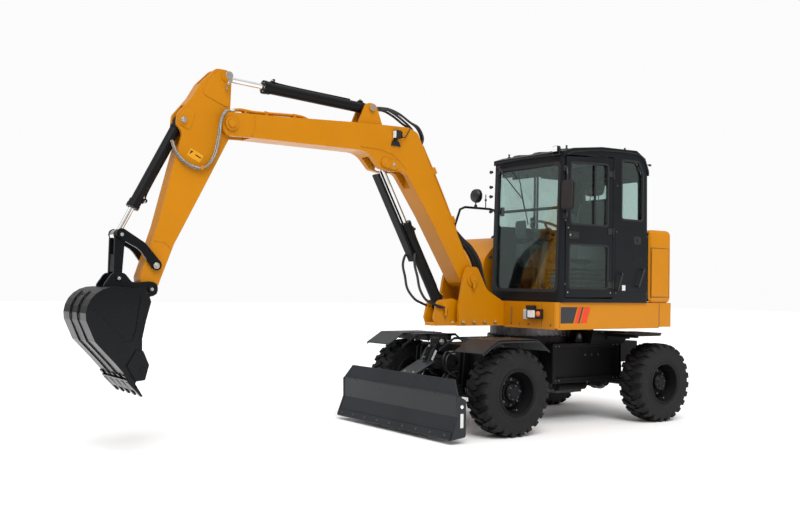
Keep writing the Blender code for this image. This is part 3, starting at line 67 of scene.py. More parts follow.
def pin(joint):
    """A hinge's (x, z) place, from the slew axis."""
    place = Vector(JOINTS[joint]["pos_m"]) - SLEW_AXIS
    return place.x, place.z


def span(node):
    """Lowest and highest corner of a CAD node, from the slew axis."""
    low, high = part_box(node)
    return low - SLEW_AXIS, high - SLEW_AXIS


BOOM_FOOT = pin("boom_lift")
BOOM_CYL_FOOT = pin("boom_barrel_swing")
ARM_CYL_FOOT = pin("arm_barrel_swing")
BUCKET_CYL_FOOT = pin("bucket_barrel_swing")
BUCKET_PIN = pin("bucket_curl")
GUIDE_PIN = pin("guide_links_swing")
LINK_TOP = pin("bucket_link_swing")
BLADE_HINGE = pin("blade_lift")
BLADE_CYL_TOP = pin("blade_barrel_swing")
BOOM_CYL_EYE = (1.945, 2.55)
ARM_CYL_EYE = (3.59, 3.15)
BUCKET_LINK_PIN = (4.48, 1.418)
BLADE_CYL_EYE = (1.46, 0.42)
TRACK_HALF = (span("rim_front_left")[1].y + span("rim_front_left")[0].y) / 2


# ------------------------------------------------------------------ finishes
class Socket:
    """One output of a finish's node.  Sums and products of it add Math nodes."""

    def __init__(self, finish, link):
        self.finish = finish
        self.link = link

    def math(self, operation, *values):
        return self.finish.node("ShaderNodeMath", {"operation": operation}, list(values))

    def __add__(self, other):
        return self.math("ADD", self, other)

    def __sub__(self, other):
        return self.math("SUBTRACT", self, other)

    def __mul__(self, other):
        return self.math("MULTIPLY", self, other)

    def __rsub__(self, other):
        return self.math("SUBTRACT", other, self)

    __radd__ = __add__
    __rmul__ = __mul__


class Finish:
    """A procedural material built round one Principled shader."""

    def __init__(self, name, colour, roughness, metallic=0.0, **settings):
        self.material = bpy.data.materials.new(name)
        self.material.use_nodes = True
        self.tree = self.material.node_tree
        self.shader = self.tree.nodes["Principled BSDF"]
        self.set("Base Color", colour)
        self.set("Roughness", roughness)
        self.set("Metallic", metallic)
        for socket, value in settings.items():
            self.set(socket.replace("_", " ").title(), value)

    def plug(self, socket, value):
        """A number, colour or Socket put on one input."""
        if isinstance(value, Socket):
            self.tree.links.new(value.link, socket)
        elif isinstance(value, tuple) and len(value) == 3 and socket.type == "RGBA":
            socket.default_value = (*value, 1.0)
        else:
            socket.default_value = value

    def set(self, name, value):
        self.plug(self.shader.inputs[name], value)

    def node(self, kind, settings=None, values=(), output=0):
        """A node with its settings made first, then its inputs by index or by name."""
        made = self.tree.nodes.new(kind)
        for name, value in (settings or {}).items():
            if name == "stops":
                for index, (place, colour) in enumerate(value):
                    if index >= len(made.color_ramp.elements):
                        made.color_ramp.elements.new(place)
                    made.color_ramp.elements[index].position = place
                    made.color_ramp.elements[index].color = (*colour, 1.0)
            else:
                setattr(made, name, value)
        pairs = values.items() if isinstance(values, dict) else enumerate(values)
        for name, value in pairs:
            self.plug(made.inputs[name], value)
        return Socket(self, made.outputs[output])

    def place(self, stretch=(1.0, 1.0, 1.0)):
        """The piece's own coordinates in metres, stretched along its axes."""
        spot = self.node("ShaderNodeTexCoord", output="Object")
        return self.node("ShaderNodeMapping", {}, {"Vector": spot, "Scale": stretch})

    def noise(self, scale, detail=3.0, stretch=(1.0, 1.0, 1.0)):
        return self.node("ShaderNodeTexNoise", {},
                         {"Vector": self.place(stretch), "Scale": scale, "Detail": detail})

    def cells(self, scale, stretch=(1.0, 1.0, 1.0), feature="F1"):
        return self.node("ShaderNodeTexVoronoi", {"feature": feature},
                         {"Vector": self.place(stretch), "Scale": scale})

    def ramp(self, value, low, high):
        """0 below low, 1 above high, straight between."""
        return self.node("ShaderNodeMapRange", {},
                         {"Value": value, "From Min": low, "From Max": high})

    def mix(self, share, first, second):
        """The first colour where share is 0, the second where it is 1."""
        return self.node("ShaderNodeMix", {"data_type": "RGBA"},
                         {0: share, 6: first, 7: second}, output=2)

    def soft_edge(self, radius):
        """Normals as if the edges were rounded."""
        return self.node("ShaderNodeBevel", {"samples": 4}, {"Radius": radius})

    def edge_wear(self, rounded):
        """1 on outer and inner edges, 0 on flats."""
        true = self.node("ShaderNodeNewGeometry", output="Normal")
        flat = self.node("ShaderNodeVectorMath", {"operation": "DOT_PRODUCT"},
                         [rounded, true], output="Value")
        return self.ramp(1.0 - flat, 0.02, 0.16)

    def facing_up(self):
        """1 on faces that look up, 0 on upright and downward ones."""
        true = self.node("ShaderNodeNewGeometry", output="Normal")
        return self.ramp(self.node("ShaderNodeSeparateXYZ", {}, [true], output="Z"), 0.3, 0.95)

    def bump(self, height, depth, normal=None, strength=1.0):
        values = {"Height": height, "Distance": depth, "Strength": strength}
        if normal is not None:
            values["Normal"] = normal
        self.set("Normal", self.node("ShaderNodeBump", {}, values, output="Normal"))


def paint(name, colour, roughness, peel=0.00012, wear=(0.30, 0.29, 0.27), wear_share=0.35,
          dust=(0.30, 0.27, 0.23), dust_share=0.10, edge=0.004, coat=0.0, drift=0.10, shine=0.3):
    """Sprayed enamel: orange peel, faint cloudiness, dust on top faces, rubbed edges."""
    finish = Finish(name, colour, roughness, coat_weight=coat)
    finish.set("Specular IOR Level", shine)
    finish.set("Coat Roughness", 0.08)
    clouds = finish.noise(1.7, 4.0)
    deep = tuple(channel * (1.0 - drift) for channel in colour)
    pale = tuple(min(1.0, channel * (1.0 + drift)) for channel in colour)
    base = finish.mix(finish.ramp(clouds, 0.35, 0.65), deep, pale)
    streaks = finish.ramp(finish.noise(9.0, 5.0, (1.0, 1.0, 0.25)), 0.52, 0.72)
    film = finish.facing_up() * 0.7 + streaks * 0.3
    speck = finish.ramp(finish.noise(70.0, 2.0), 0.45, 0.65)
    base = finish.mix(film * speck * dust_share, base, dust)
    rounded = finish.soft_edge(edge)
    chips = finish.ramp(finish.noise(38.0, 4.0), 0.50, 0.62)
    rubbed = finish.edge_wear(rounded) * chips * wear_share
    finish.set("Base Color", finish.mix(rubbed, base, wear))
    finish.set("Roughness", finish.ramp(finish.noise(5.0, 4.0), 0.2, 0.8) * 0.14
               + (roughness - 0.07) + film * 0.10)
    finish.bump(finish.noise(420.0, 2.0), peel, rounded, 0.5)
    return finish.material


def tyre_rubber():
    """Black moulded rubber, greyer and dusty between the lugs."""
    finish = Finish("tyre_rubber", (0.016, 0.016, 0.017), 0.8)
    dust = finish.ramp(finish.noise(11.0, 6.0), 0.48, 0.75)
    fine = finish.ramp(finish.noise(160.0, 3.0), 0.40, 0.70)
    finish.set("Base Color", finish.mix(dust * fine * 0.35 + dust * 0.12, (0.008, 0.008, 0.009),
                                        (0.045, 0.043, 0.041)))
    finish.set("Roughness", 0.62 + dust * 0.25)
    finish.set("Specular IOR Level", 0.25)
    finish.bump(finish.noise(260.0, 3.0) + finish.noise(32.0, 2.0) * 1.5, 0.0006,
                finish.soft_edge(0.004), 0.6)
    return finish.material


def hose_rubber():
    """Braided hydraulic hose: a faint spiral wrap under a satin cover."""
    finish = Finish("hose_rubber", (0.012, 0.012, 0.013), 0.45)
    wrap = finish.noise(300.0, 2.0)
    finish.set("Roughness", 0.38 + wrap * 0.2)
    finish.bump(wrap, 0.0004, strength=0.6)
    return finish.material


def chrome():
    """Ground and chromed cylinder rod with hair-fine turning marks and an oil film."""
    finish = Finish("bright_chrome", (0.78, 0.78, 0.77), 0.1, 1.0)
    film = finish.noise(6.0, 5.0)
    finish.set("Base Color", finish.mix(finish.ramp(film, 0.4, 0.7), (0.82, 0.82, 0.82),
                                        (0.68, 0.67, 0.63)))
    finish.set("Roughness", 0.07 + finish.ramp(film, 0.35, 0.75) * 0.12)
    finish.bump(finish.noise(900.0, 1.0, (0.15, 1.0, 1.0)), 0.00003, strength=0.4)
    return finish.material


def metal(name, colour, roughness, blotch=0.2, grain=600.0):
    """Bare or plated steel with uneven tarnish."""
    finish = Finish(name, colour, roughness, 1.0)
    tarnish = finish.ramp(finish.noise(28.0, 5.0), 0.35, 0.70)
    dull = tuple(channel * (1.0 - blotch) for channel in colour)
    finish.set("Base Color", finish.mix(tarnish, colour, dull))
    finish.set("Roughness", roughness + tarnish * 0.15)
    finish.bump(finish.noise(grain, 2.0), 0.00006, finish.soft_edge(0.0015), 0.5)
    return finish.material


def plastic(name, colour, roughness, grain=500.0, depth=0.00015, **settings):
    """Moulded plastic with a leather-like grain and a few rubbed, lighter patches."""
    finish = Finish(name, colour, roughness, **settings)
    rub = finish.ramp(finish.noise(7.0, 4.0), 0.45, 0.75)
    pale = tuple(channel * 1.35 + 0.004 for channel in colour)
    finish.set("Base Color", finish.mix(rub * 0.6, colour, pale))
    finish.set("Roughness", roughness + rub * 0.12)
    finish.bump(finish.cells(grain), depth, finish.soft_edge(0.002), 0.5)
    return finish.material


def woven(name, colour, thread=900.0, depth=0.0004):
    """Coarse seat cloth: crossed ribs of thread with a heathered colour."""
    finish = Finish(name, colour, 0.9, sheen_weight=0.3)
    spot = finish.node("ShaderNodeTexCoord", output="Object")
    ribs = []
    for direction in ("X", "Y"):
        ribs.append(finish.node("ShaderNodeTexWave", {"bands_direction": direction},
                                {"Vector": spot, "Scale": thread / 20, "Distortion": 0.6}))
    cloth = ribs[0] * ribs[1]
    fleck = finish.ramp(finish.noise(450.0, 2.0), 0.35, 0.7)
    pale = tuple(channel * 1.8 + 0.01 for channel in colour)
    finish.set("Base Color", finish.mix(fleck * 0.5 + cloth * 0.3, colour, pale))
    finish.bump(cloth + fleck * 0.3, depth, strength=0.8)
    return finish.material


def window_glass():
    """Green tinted safety glass: tinted see-through with a sharp reflection and a faint haze."""
    finish = Finish("window_glass", (0.92, 0.96, 0.95), 0.02, 1.0)
    clear = finish.node("ShaderNodeBsdfTransparent", {}, [(0.84, 0.915, 0.895)])
    edge = finish.node("ShaderNodeLayerWeight", {}, {"Blend": 0.33}, output="Fresnel")
    haze = finish.ramp(finish.noise(3.0, 5.0), 0.45, 0.9) * 0.03
    output = finish.tree.nodes["Material Output"]
    mixed = finish.node("ShaderNodeMixShader", {},
                        [edge * 0.30 + haze * 0.3 + 0.004, clear,
                         Socket(finish, finish.shader.outputs[0])])
    finish.tree.links.new(mixed.link, output.inputs["Surface"])
    return finish.material


def lens(name, colour, ribs=260.0):
    """Moulded lamp lens with prisms."""
    finish = Finish(name, colour, 0.12, coat_weight=0.6)
    prism = finish.node("ShaderNodeTexWave", {"bands_direction": "Z"},
                        {"Vector": finish.place(), "Scale": ribs / 6})
    bright = tuple(min(1.0, channel * 1.25 + 0.05) for channel in colour)
    finish.set("Base Color", finish.mix(prism, colour, bright))
    finish.bump(prism, 0.0008, strength=0.7)
    return finish.material


YELLOW = paint("yellow_enamel", (0.540, 0.198, 0.0004), 0.32, coat=0.06, dust_share=0.02,
               wear=(0.72, 0.38, 0.07), wear_share=0.5, drift=0.035, shine=0.24)
CAB_GREY = paint("charcoal_enamel", (0.0090, 0.0098, 0.0120), 0.33, wear=(0.06, 0.06, 0.065),
                 dust_share=0.012, coat=0.03, shine=0.15)
CHASSIS_BLACK = paint("chassis_enamel", (0.0058, 0.0060, 0.0068), 0.40, wear=(0.05, 0.05, 0.05),
                      dust_share=0.03, shine=0.14)
BLADE_GREY = paint("blade_enamel", (0.0175, 0.0200, 0.0235), 0.30, wear=(0.10, 0.10, 0.10),
                   dust_share=0.04, coat=0.05, shine=0.22)
BUCKET_BLACK = paint("bucket_enamel", (0.0038, 0.0042, 0.0052), 0.26, wear=(0.08, 0.08, 0.08),
                     dust_share=0.015, coat=0.10, shine=0.16)
LINER_GREY = plastic("liner_grey", (0.060, 0.062, 0.066), 0.65)
CONSOLE_GREY = plastic("console_grey", (0.085, 0.088, 0.090), 0.55)
TRIM_BLACK = plastic("trim_black", (0.008, 0.008, 0.009), 0.45)
SEAL_RUBBER = plastic("seal_rubber", (0.008, 0.008, 0.009), 0.7, 900.0, 0.0001)
RUBBER = tyre_rubber()
HOSE = hose_rubber()
CHROME = chrome()
ZINC = metal("zinc_plate", (0.62, 0.60, 0.55), 0.30)
STEEL_GREY = metal("dark_steel", (0.16, 0.16, 0.17), 0.45)
HOSE_SLEEVE = metal("hose_sleeve", (0.36, 0.34, 0.31), 0.42, grain=260.0)
MIRROR = metal("mirror_glass", (0.86, 0.88, 0.88), 0.03, 0.03, 50.0)
SEAT_CLOTH = woven("seat_cloth", (0.035, 0.036, 0.040))
SEAT_VINYL = plastic("seat_vinyl", (0.022, 0.022, 0.024), 0.5, 350.0, 0.0003)
GLASS = window_glass()
CLEAR_LENS = lens("clear_lens", (0.80, 0.82, 0.84))
AMBER_LENS = lens("amber_lens", (0.85, 0.16, 0.01))
RED_LENS = lens("red_lens", (0.55, 0.01, 0.01))
STRIPE_RED = paint("stripe_red", (0.72, 0.055, 0.012), 0.35, dust_share=0.02, wear_share=0.1)
STRIPE_DARK = paint("stripe_dark", (0.035, 0.035, 0.038), 0.35, dust_share=0.02, wear_share=0.1)
LABEL_WHITE = paint("label_white", (0.62, 0.62, 0.60), 0.40, dust_share=0.05, wear_share=0.1)
LABEL_YELLOW = paint("label_yellow", (0.80, 0.36, 0.01), 0.30, dust_share=0.02, wear_share=0.1)

CAD_FINISHES = {
    "yellow_paint": YELLOW, "black_paint": CHASSIS_BLACK, "grey_paint": BLADE_GREY,
    "gloss_black": BUCKET_BLACK, "tyre": RUBBER, "chrome": CHROME, "cast_iron": STEEL_GREY,
    "glass": GLASS, "seat_fabric": SEAT_CLOTH, "grey_plastic": CONSOLE_GREY,
}
OWN_FINISHES = {"cab_frame": CAB_GREY, "cab_roof": CAB_GREY, "cab_door": CAB_GREY,
                "cab_floor": CAB_GREY, "left_mirror": TRIM_BLACK,
                "front_fender_left": BLADE_GREY, "front_fender_right": BLADE_GREY}

ROUNDED = {"cab_roof": 0.022, "cab_frame": 0.006, "cab_door": 0.006}   # width of the edge's round


def dress_frame():
    """Every CAD node gets the finish of its slot, and the cab its own."""
    slots = {row["node"]: row["material_slot"] for row in frame["record"]["subparts"]}
    for name, item in NODES.items():
        item.data.materials.clear()
        item.data.materials.append(OWN_FINISHES.get(name, CAD_FINISHES[slots[name]]))
    for name, width in ROUNDED.items():
        bevel = NODES[name].modifiers.new("rounded edges", "BEVEL")
        bevel.width = width
        bevel.segments = 3
        bevel.limit_method = "ANGLE"
        bevel.angle_limit = math.radians(28)
        bevel.harden_normals = True


# ------------------------------------------------------------------ shapes
def across(point, y=0.0):
    """An (x, z) place as a point in space."""
    return Vector((point[0], y, point[1]))


def smooth_path(points, steps=7):
    """A curve through all the points, evenly eased."""
    points = [Vector(point) for point in points]
    ends = [2 * points[0] - points[1], *points, 2 * points[-1] - points[-2]]
    path = []
    for index in range(1, len(ends) - 2):
        before, start, end, after = ends[index - 1:index + 3]
        for step in range(steps):
            t = step / steps
            path.append(0.5 * (2 * start + (end - before) * t
                               + (2 * before - 5 * start + 4 * end - after) * t ** 2
                               + (3 * start - before - 3 * end + after) * t ** 3))
    path.append(points[-1])
    return path


def ring(centre, side, up, radius, sides):
    """A circle of points in the plane of side and up."""
    return [centre + radius * (side * math.cos(turn) + up * math.sin(turn))
            for turn in (2 * math.pi * step / sides for step in range(sides))]


class Shape:
    """Shapes gathered into one mesh."""

    def __init__(self):
        self.mesh = bmesh.new()

    def loft(self, rings, ends=True, joined=False):
        """Closed rings skinned one to the next; the last joins the first if joined."""
        rows = [[self.mesh.verts.new(point) for point in row] for row in rings]
        for first, second in zip(rows, rows[1:] + rows[:1] if joined else rows[1:]):
            for here in range(len(first)):
                there = (here + 1) % len(first)
                self.mesh.faces.new((first[here], first[there], second[there], second[here]))
        if ends and not joined:
            self.mesh.faces.new(rows[0])
            self.mesh.faces.new(rows[-1])

    def slab(self, outline, plane, low, high):
        """A flat outline in a plane, given thickness from low to high."""
        lift = {"xy": lambda u, v, w: (u, v, w), "xz": lambda u, v, w: (u, w, v),
                "yz": lambda u, v, w: (w, u, v)}[plane]
        self.loft([[lift(u, v, depth) for u, v in outline] for depth in (low, high)])

    def block(self, low, high):
        self.slab([(low[0], low[1]), (high[0], low[1]), (high[0], high[1]), (low[0], high[1])],
                  "xy", low[2], high[2])

    def block_at(self, centre, along_axis, across_axis, out, half):
        """A block with its own three axes and half sizes."""
        rows = []
        for rise in (-1, 1):
            rows.append([centre + along_axis * half[0] * u + across_axis * half[1] * v
                         + out * half[2] * rise for u, v in ((-1, -1), (1, -1), (1, 1), (-1, 1))])
        self.loft(rows)

    def rod(self, start, end, radius, end_radius=None, sides=20):
        """A round bar or cone."""
        start, end = Vector(start), Vector(end)
        turn = (end - start).to_track_quat("Z", "Y")
        side, up = turn @ Vector((1, 0, 0)), turn @ Vector((0, 1, 0))
        self.loft([ring(start, side, up, radius, sides),
                   ring(end, side, up, radius if end_radius is None else end_radius, sides)])

    def pipe(self, points, radius, sides=10, steps=7, ripple=0.0, joined=False):
        """A round hose along a smooth curve; ripple swells it in a regular pattern."""
        path = smooth_path(points, steps) if steps else [Vector(point) for point in points]
        aim = (path[1] - path[0]).normalized()
        side = aim.orthogonal().normalized()
        rows = []
        for index, point in enumerate(path):
            ahead = path[min(index + 1, len(path) - 1)] - path[max(index - 1, 0)]
            ahead.normalize()
            side = (side - ahead * side.dot(ahead)).normalized()
            swell = 1.0 + ripple * (index % 2)
            rows.append(ring(point, side, ahead.cross(side), radius * swell, sides))
        self.loft(rows, joined=joined)

    def turned(self, profile, centre, axis, steps=48):
        """A closed profile of (radius, place along axis) turned about the axis."""
        axis = Vector(axis).normalized()
        side = axis.orthogonal().normalized()
        up = axis.cross(side)
        rows = []
        for step in range(steps):
            turn = 2 * math.pi * step / steps
            out = side * math.cos(turn) + up * math.sin(turn)
            rows.append([Vector(centre) + out * radius + axis * along for radius, along in profile])
        self.loft(rows, joined=True)

    def bolt(self, place, towards, size=0.010, washer=True):
        """A hexagon head, size across its corners' radius, with a washer under it."""
        place, towards = Vector(place), Vector(towards).normalized()
        if washer:
            self.rod(place - towards * 0.001, place + towards * size * 0.25, size * 1.55)
        self.rod(place, place + towards * size * 0.95, size, sides=6)
        self.rod(place + towards * size * 0.9, place + towards * size * 1.1, size * 0.62, sides=8)

    def bolts(self, places, towards, size=0.010, washer=True):
        for place in places:
            self.bolt(place, towards, size, washer)

    def bolt_circle(self, centre, axis, radius, count, size=0.010, start=0.0):
        axis = Vector(axis).normalized()
        side = axis.orthogonal().normalized()
        for place in ring(Vector(centre), side, axis.cross(side), radius, count):
            self.bolt(place, axis, size, washer=False)

    def weld(self, points, radius=0.004):
        """A rippled weld bead along straight runs."""
        path = []
        for start, end in zip(points, points[1:]):
            start, end = Vector(start), Vector(end)
            count = max(2, int((end - start).length / 0.012))
            path += [start.lerp(end, step / count) for step in range(count)]
        path.append(Vector(points[-1]))
        self.pipe(path, radius, sides=6, steps=0, ripple=0.22)


def piece(name, body, finish, shape, edge=0.0, smooth=38):
    """One named piece from its shape, riding on a body."""
    mesh = bpy.data.meshes.new(name)
    bmesh.ops.recalc_face_normals(shape.mesh, faces=shape.mesh.faces)
    shape.mesh.to_mesh(mesh)
    shape.mesh.free()
    mesh.transform(Matrix.Translation(SLEW_AXIS))
    mesh.materials.append(finish)
    mesh.shade_smooth()
    item = bpy.data.objects.new(name, mesh)
    bpy.context.scene.collection.objects.link(item)
    if edge:
        bevel = item.modifiers.new("rounded edges", "BEVEL")
        bevel.width = edge
        bevel.segments = 2
        bevel.limit_method = "ANGLE"
        bevel.angle_limit = math.radians(smooth)
        bevel.harden_normals = True
    else:
        mesh.set_sharp_from_angle(angle=math.radians(smooth))
    if body:
        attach(item, body)
    return item


# ------------------------------------------------------------------ wheels
LUGS = 24                # lugs round each side of a tyre
LUG_DEPTH = 0.024
RIM_HALF = 0.1325        # half the width between a rim's flanges


def tyre(corner, side, body):
    """Traction tyre: rounded carcass with bead rings and two staggered rows of hooked lugs."""
    low, high = span("tyre_" + corner)
    centre = (low + high) / 2
    outer, half = (high.z - low.z) / 2, (high.y - low.y) / 2
    bore = (span("rim_" + corner)[1].z - span("rim_" + corner)[0].z) / 2
    crown = outer - LUG_DEPTH
    profile = [(bore, -half + 0.030), (bore + 0.012, -half + 0.010), (bore + 0.030, -half + 0.006),
               (bore + 0.034, -half + 0.001), (bore + 0.046, -half + 0.001),
               (bore + 0.052, -half + 0.006), (crown - 0.055, -half + 0.001),
               (crown - 0.020, -half + 0.008), (crown - 0.004, -half + 0.034), (crown, -half + 0.07)]
    profile += [(radius, -along) for radius, along in reversed(profile)]
    shape = Shape()
    shape.turned(profile, centre, (0, side, 0), 96)
    pitch = 2 * math.pi / LUGS
    # stations across a lug: place over the width, radius, skew and width round the tyre
    stations = [(-0.012, outer, 0.00, 0.030), (0.020, outer, 0.00, 0.050),
                (0.060, outer - 0.001, 0.10, 0.046), (0.085, outer - 0.002, 0.30, 0.044),
                (0.118, outer - 0.005, 0.36, 0.054), (half - 0.006, outer - 0.016, 0.38, 0.056),
                (half, outer - 0.040, 0.38, 0.050), (half + 0.001, outer - 0.072, 0.34, 0.030)]
    for hand in (1, -1):
        for index in range(LUGS):
            start = pitch * (index + (0.5 if hand < 0 else 0.0))
            rows = []
            for along, radius, skew, width in stations:
                middle = start + side * skew * pitch
                root = min(crown, radius - 0.004) - 0.006
                if along > half - 0.010:
                    root = radius - 0.012
                row = []
                for reach, spread in ((radius, 0.5), (radius, -0.5), (root, -0.62), (root, 0.62)):
                    inward = 0.014 if (along > half - 0.008 and reach == root) else 0.0
                    turn = middle + spread * width / outer
                    row.append(centre + Vector((reach * math.cos(turn), hand * (along - inward),
                                                reach * math.sin(turn))))
                rows.append(row)
            shape.loft(rows)
    item = piece("tyre_%s_tread" % corner, body, RUBBER, shape, edge=0.003, smooth=32)
    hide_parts("tyre_" + corner)


def rim(corner, side, body):
    """Deep-dished rim: flanges, stepped barrel, disc with nuts, planetary hub and valve."""
    low, high = span("rim_" + corner)
    radius = (high.z - low.z) / 2
    centre = Vector(((low.x + high.x) / 2, side * TRACK_HALF, (low.z + high.z) / 2))
    half = RIM_HALF
    flange = radius + 0.012
    profile = [(radius - 0.002, -half), (flange, -half - 0.004), (flange, -half - 0.010),
               (radius - 0.012, -half - 0.006), (radius - 0.018, -half + 0.03),
               (radius - 0.034, -half + 0.05), (radius - 0.034, half - 0.07),
               (radius - 0.018, half - 0.03), (radius - 0.012, half + 0.006),
               (flange, half + 0.010), (flange, half + 0.004), (radius - 0.002, half),
               (radius - 0.008, half - 0.03), (radius - 0.024, half - 0.07),
               (radius - 0.024, -half + 0.05), (radius - 0.008, -half + 0.03)]
    shape = Shape()
    shape.turned(profile, centre, (0, side, 0), 72)
    dish = radius - 0.030
    disc = [(dish, 0.004), (0.150, 0.016), (0.140, 0.030), (0.090, 0.030), (0.050, 0.030),
            (0.050, 0.018), (0.136, 0.018), (0.146, 0.004), (dish, -0.008)]
    shape.turned(disc, centre, (0, side, 0), 72)
    hub = [(0.0001, -0.060), (0.100, -0.060), (0.100, 0.044), (0.088, 0.050), (0.084, 0.078),
           (0.076, 0.086), (0.052, 0.088), (0.048, 0.094), (0.0001, 0.094)]
    shape.turned(hub, centre, (0, side, 0), 48)
    item = piece("rim_%s_disc" % corner, body, CHASSIS_BLACK, shape, smooth=34)
    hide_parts("rim_" + corner)
    nuts = Shape()
    out = Vector((0, side, 0))
    nuts.bolt_circle(centre + out * 0.030, out, 0.120, 8, 0.013)
    nuts.bolt_circle(centre + out * 0.086, out, 0.063, 6, 0.007, 0.3)
    piece("rim_%s_nuts" % corner, body, STEEL_GREY, nuts)
    valve = Shape()
    foot = centre + Vector((0, side * (half - 0.06), -radius + 0.040))
    valve.rod(foot, foot + Vector((0, side * 0.05, 0.012)), 0.004, sides=10)
    valve.rod(foot + Vector((0, side * 0.04, 0.0096)), foot + Vector((0, side * 0.055, 0.013)),
              0.0055, sides=10)
    piece("rim_%s_valve" % corner, body, ZINC, valve)


def wheels():
    for name, side in SIDES:
        for end in ("front", "rear"):
            corner = end + "_" + name
            tyre(corner, side, "wheel_" + corner)
            rim(corner, side, "wheel_" + corner)


# ------------------------------------------------------------------ undercarriage
def frame_fittings():
    """Bolts of the turntable, lifting eyes, rail flanges, front wall valves and clamps."""
    half = 0.50
    bolts = Shape()
    bolts.bolt_circle((0, 0, 0.900), (0, 0, 1), 0.415, 36, 0.009)
    for side in (1, -1):
        for x in (-0.86, -0.80, 0.02, 0.07):
            for z in (0.445, 0.805):
                bolts.bolt((x, side * half, z), (0, side, 0), 0.008)
        for x in (-0.60, -0.50, -0.40):
            bolts.bolt((x, side * (half - 0.035), 0.70), (0, side, 0), 0.007)
        bolts.bolts([(1.120, side * 0.22, z) for z in (0.62, 0.74)], (1, 0, 0), 0.009)
    piece("frame_bolts", "chassis", STEEL_GREY, bolts)
    trim = Shape()
    for side in (1, -1):
        ends = sorted((side * (half - 0.004), side * (half + 0.010)))
        for z in (0.424, 0.812):
            trim.block((-0.915, ends[0], z - 0.004), (0.118, ends[1], z + 0.016))
        for x in (-0.915, 0.070):
            trim.block((x, ends[0], 0.430), (x + 0.044, ends[1] - 0.004 * side, 0.820))
        # lifting eye on the rail
        eye = [(-0.375, 0.83), (-0.265, 0.83), (-0.275, 0.90), (-0.300, 0.935), (-0.340, 0.935),
               (-0.365, 0.90)]
        ends = sorted((side * 0.43, side * 0.455))
        trim.slab(eye, "xz", *ends)
        # stiffening web that follows the tyre behind the panel
        web = [(-0.93, 0.42), (-0.915, 0.80), (-0.88, 0.80), (-0.88, 0.43)]
        trim.slab(web, "xz", *sorted((side * 0.40, side * (half + 0.006))))
        # guard plate's brackets at the rear wing
        trim.block((-0.70, min(side * 0.50, side * 0.93), 0.895),
                   (-0.66, max(side * 0.50, side * 0.93), 0.914))
        trim.slab([(-1.02, 0.86), (-0.66, 0.86), (-0.66, 0.914), (-1.02, 0.914)], "xz",
                  *sorted((side * 0.53, side * 0.54)))
    piece("frame_flanges", "chassis", CHASSIS_BLACK, trim, edge=0.003)
    eyes = Shape()
    for side in (1, -1):
        eyes.rod((-0.32, side * 0.425, 0.895), (-0.32, side * 0.46, 0.895), 0.024, sides=24)
        eyes.bolts([(x, side * 0.52, 0.937) for x in (-0.60, -0.72, -1.05)], (0, 0, 1), 0.007)
    piece("lifting_eye_bushes", "chassis", STEEL_GREY, eyes)
    welds = Shape()
    for side in (1, -1):
        y = side * (half + 0.002)
        welds.weld([(-0.865, y - side * 0.037, 0.47), (-0.865, y - side * 0.037, 0.775),
                    (0.065, y - side * 0.037, 0.775), (0.065, y - side * 0.037, 0.47)])
        welds.weld([(1.12, side * 0.30, 0.61), (1.12, side * 0.30, 0.81)])
    piece("frame_welds", "chassis", CHASSIS_BLACK, welds)
    tool = Shape()
    for side in (1, -1):
        # tie-down loops under the belly's corners
        for x in (-0.80, 0.02):
            tool.pipe([(x - 0.04, side * 0.40, 0.425), (x - 0.035, side * 0.40, 0.375),
                       (x, side * 0.40, 0.355), (x + 0.035, side * 0.40, 0.375),
                       (x + 0.04, side * 0.40, 0.425)], 0.009)
    tool.block((-0.95, -0.32, 0.33), (-0.70, -0.22, 0.4197))
    tool.rod((-0.62, 0.24, 0.36), (-0.20, 0.24, 0.36), 0.055, sides=24)
    piece("belly_fittings", "chassis", CHASSIS_BLACK, tool, edge=0.003)


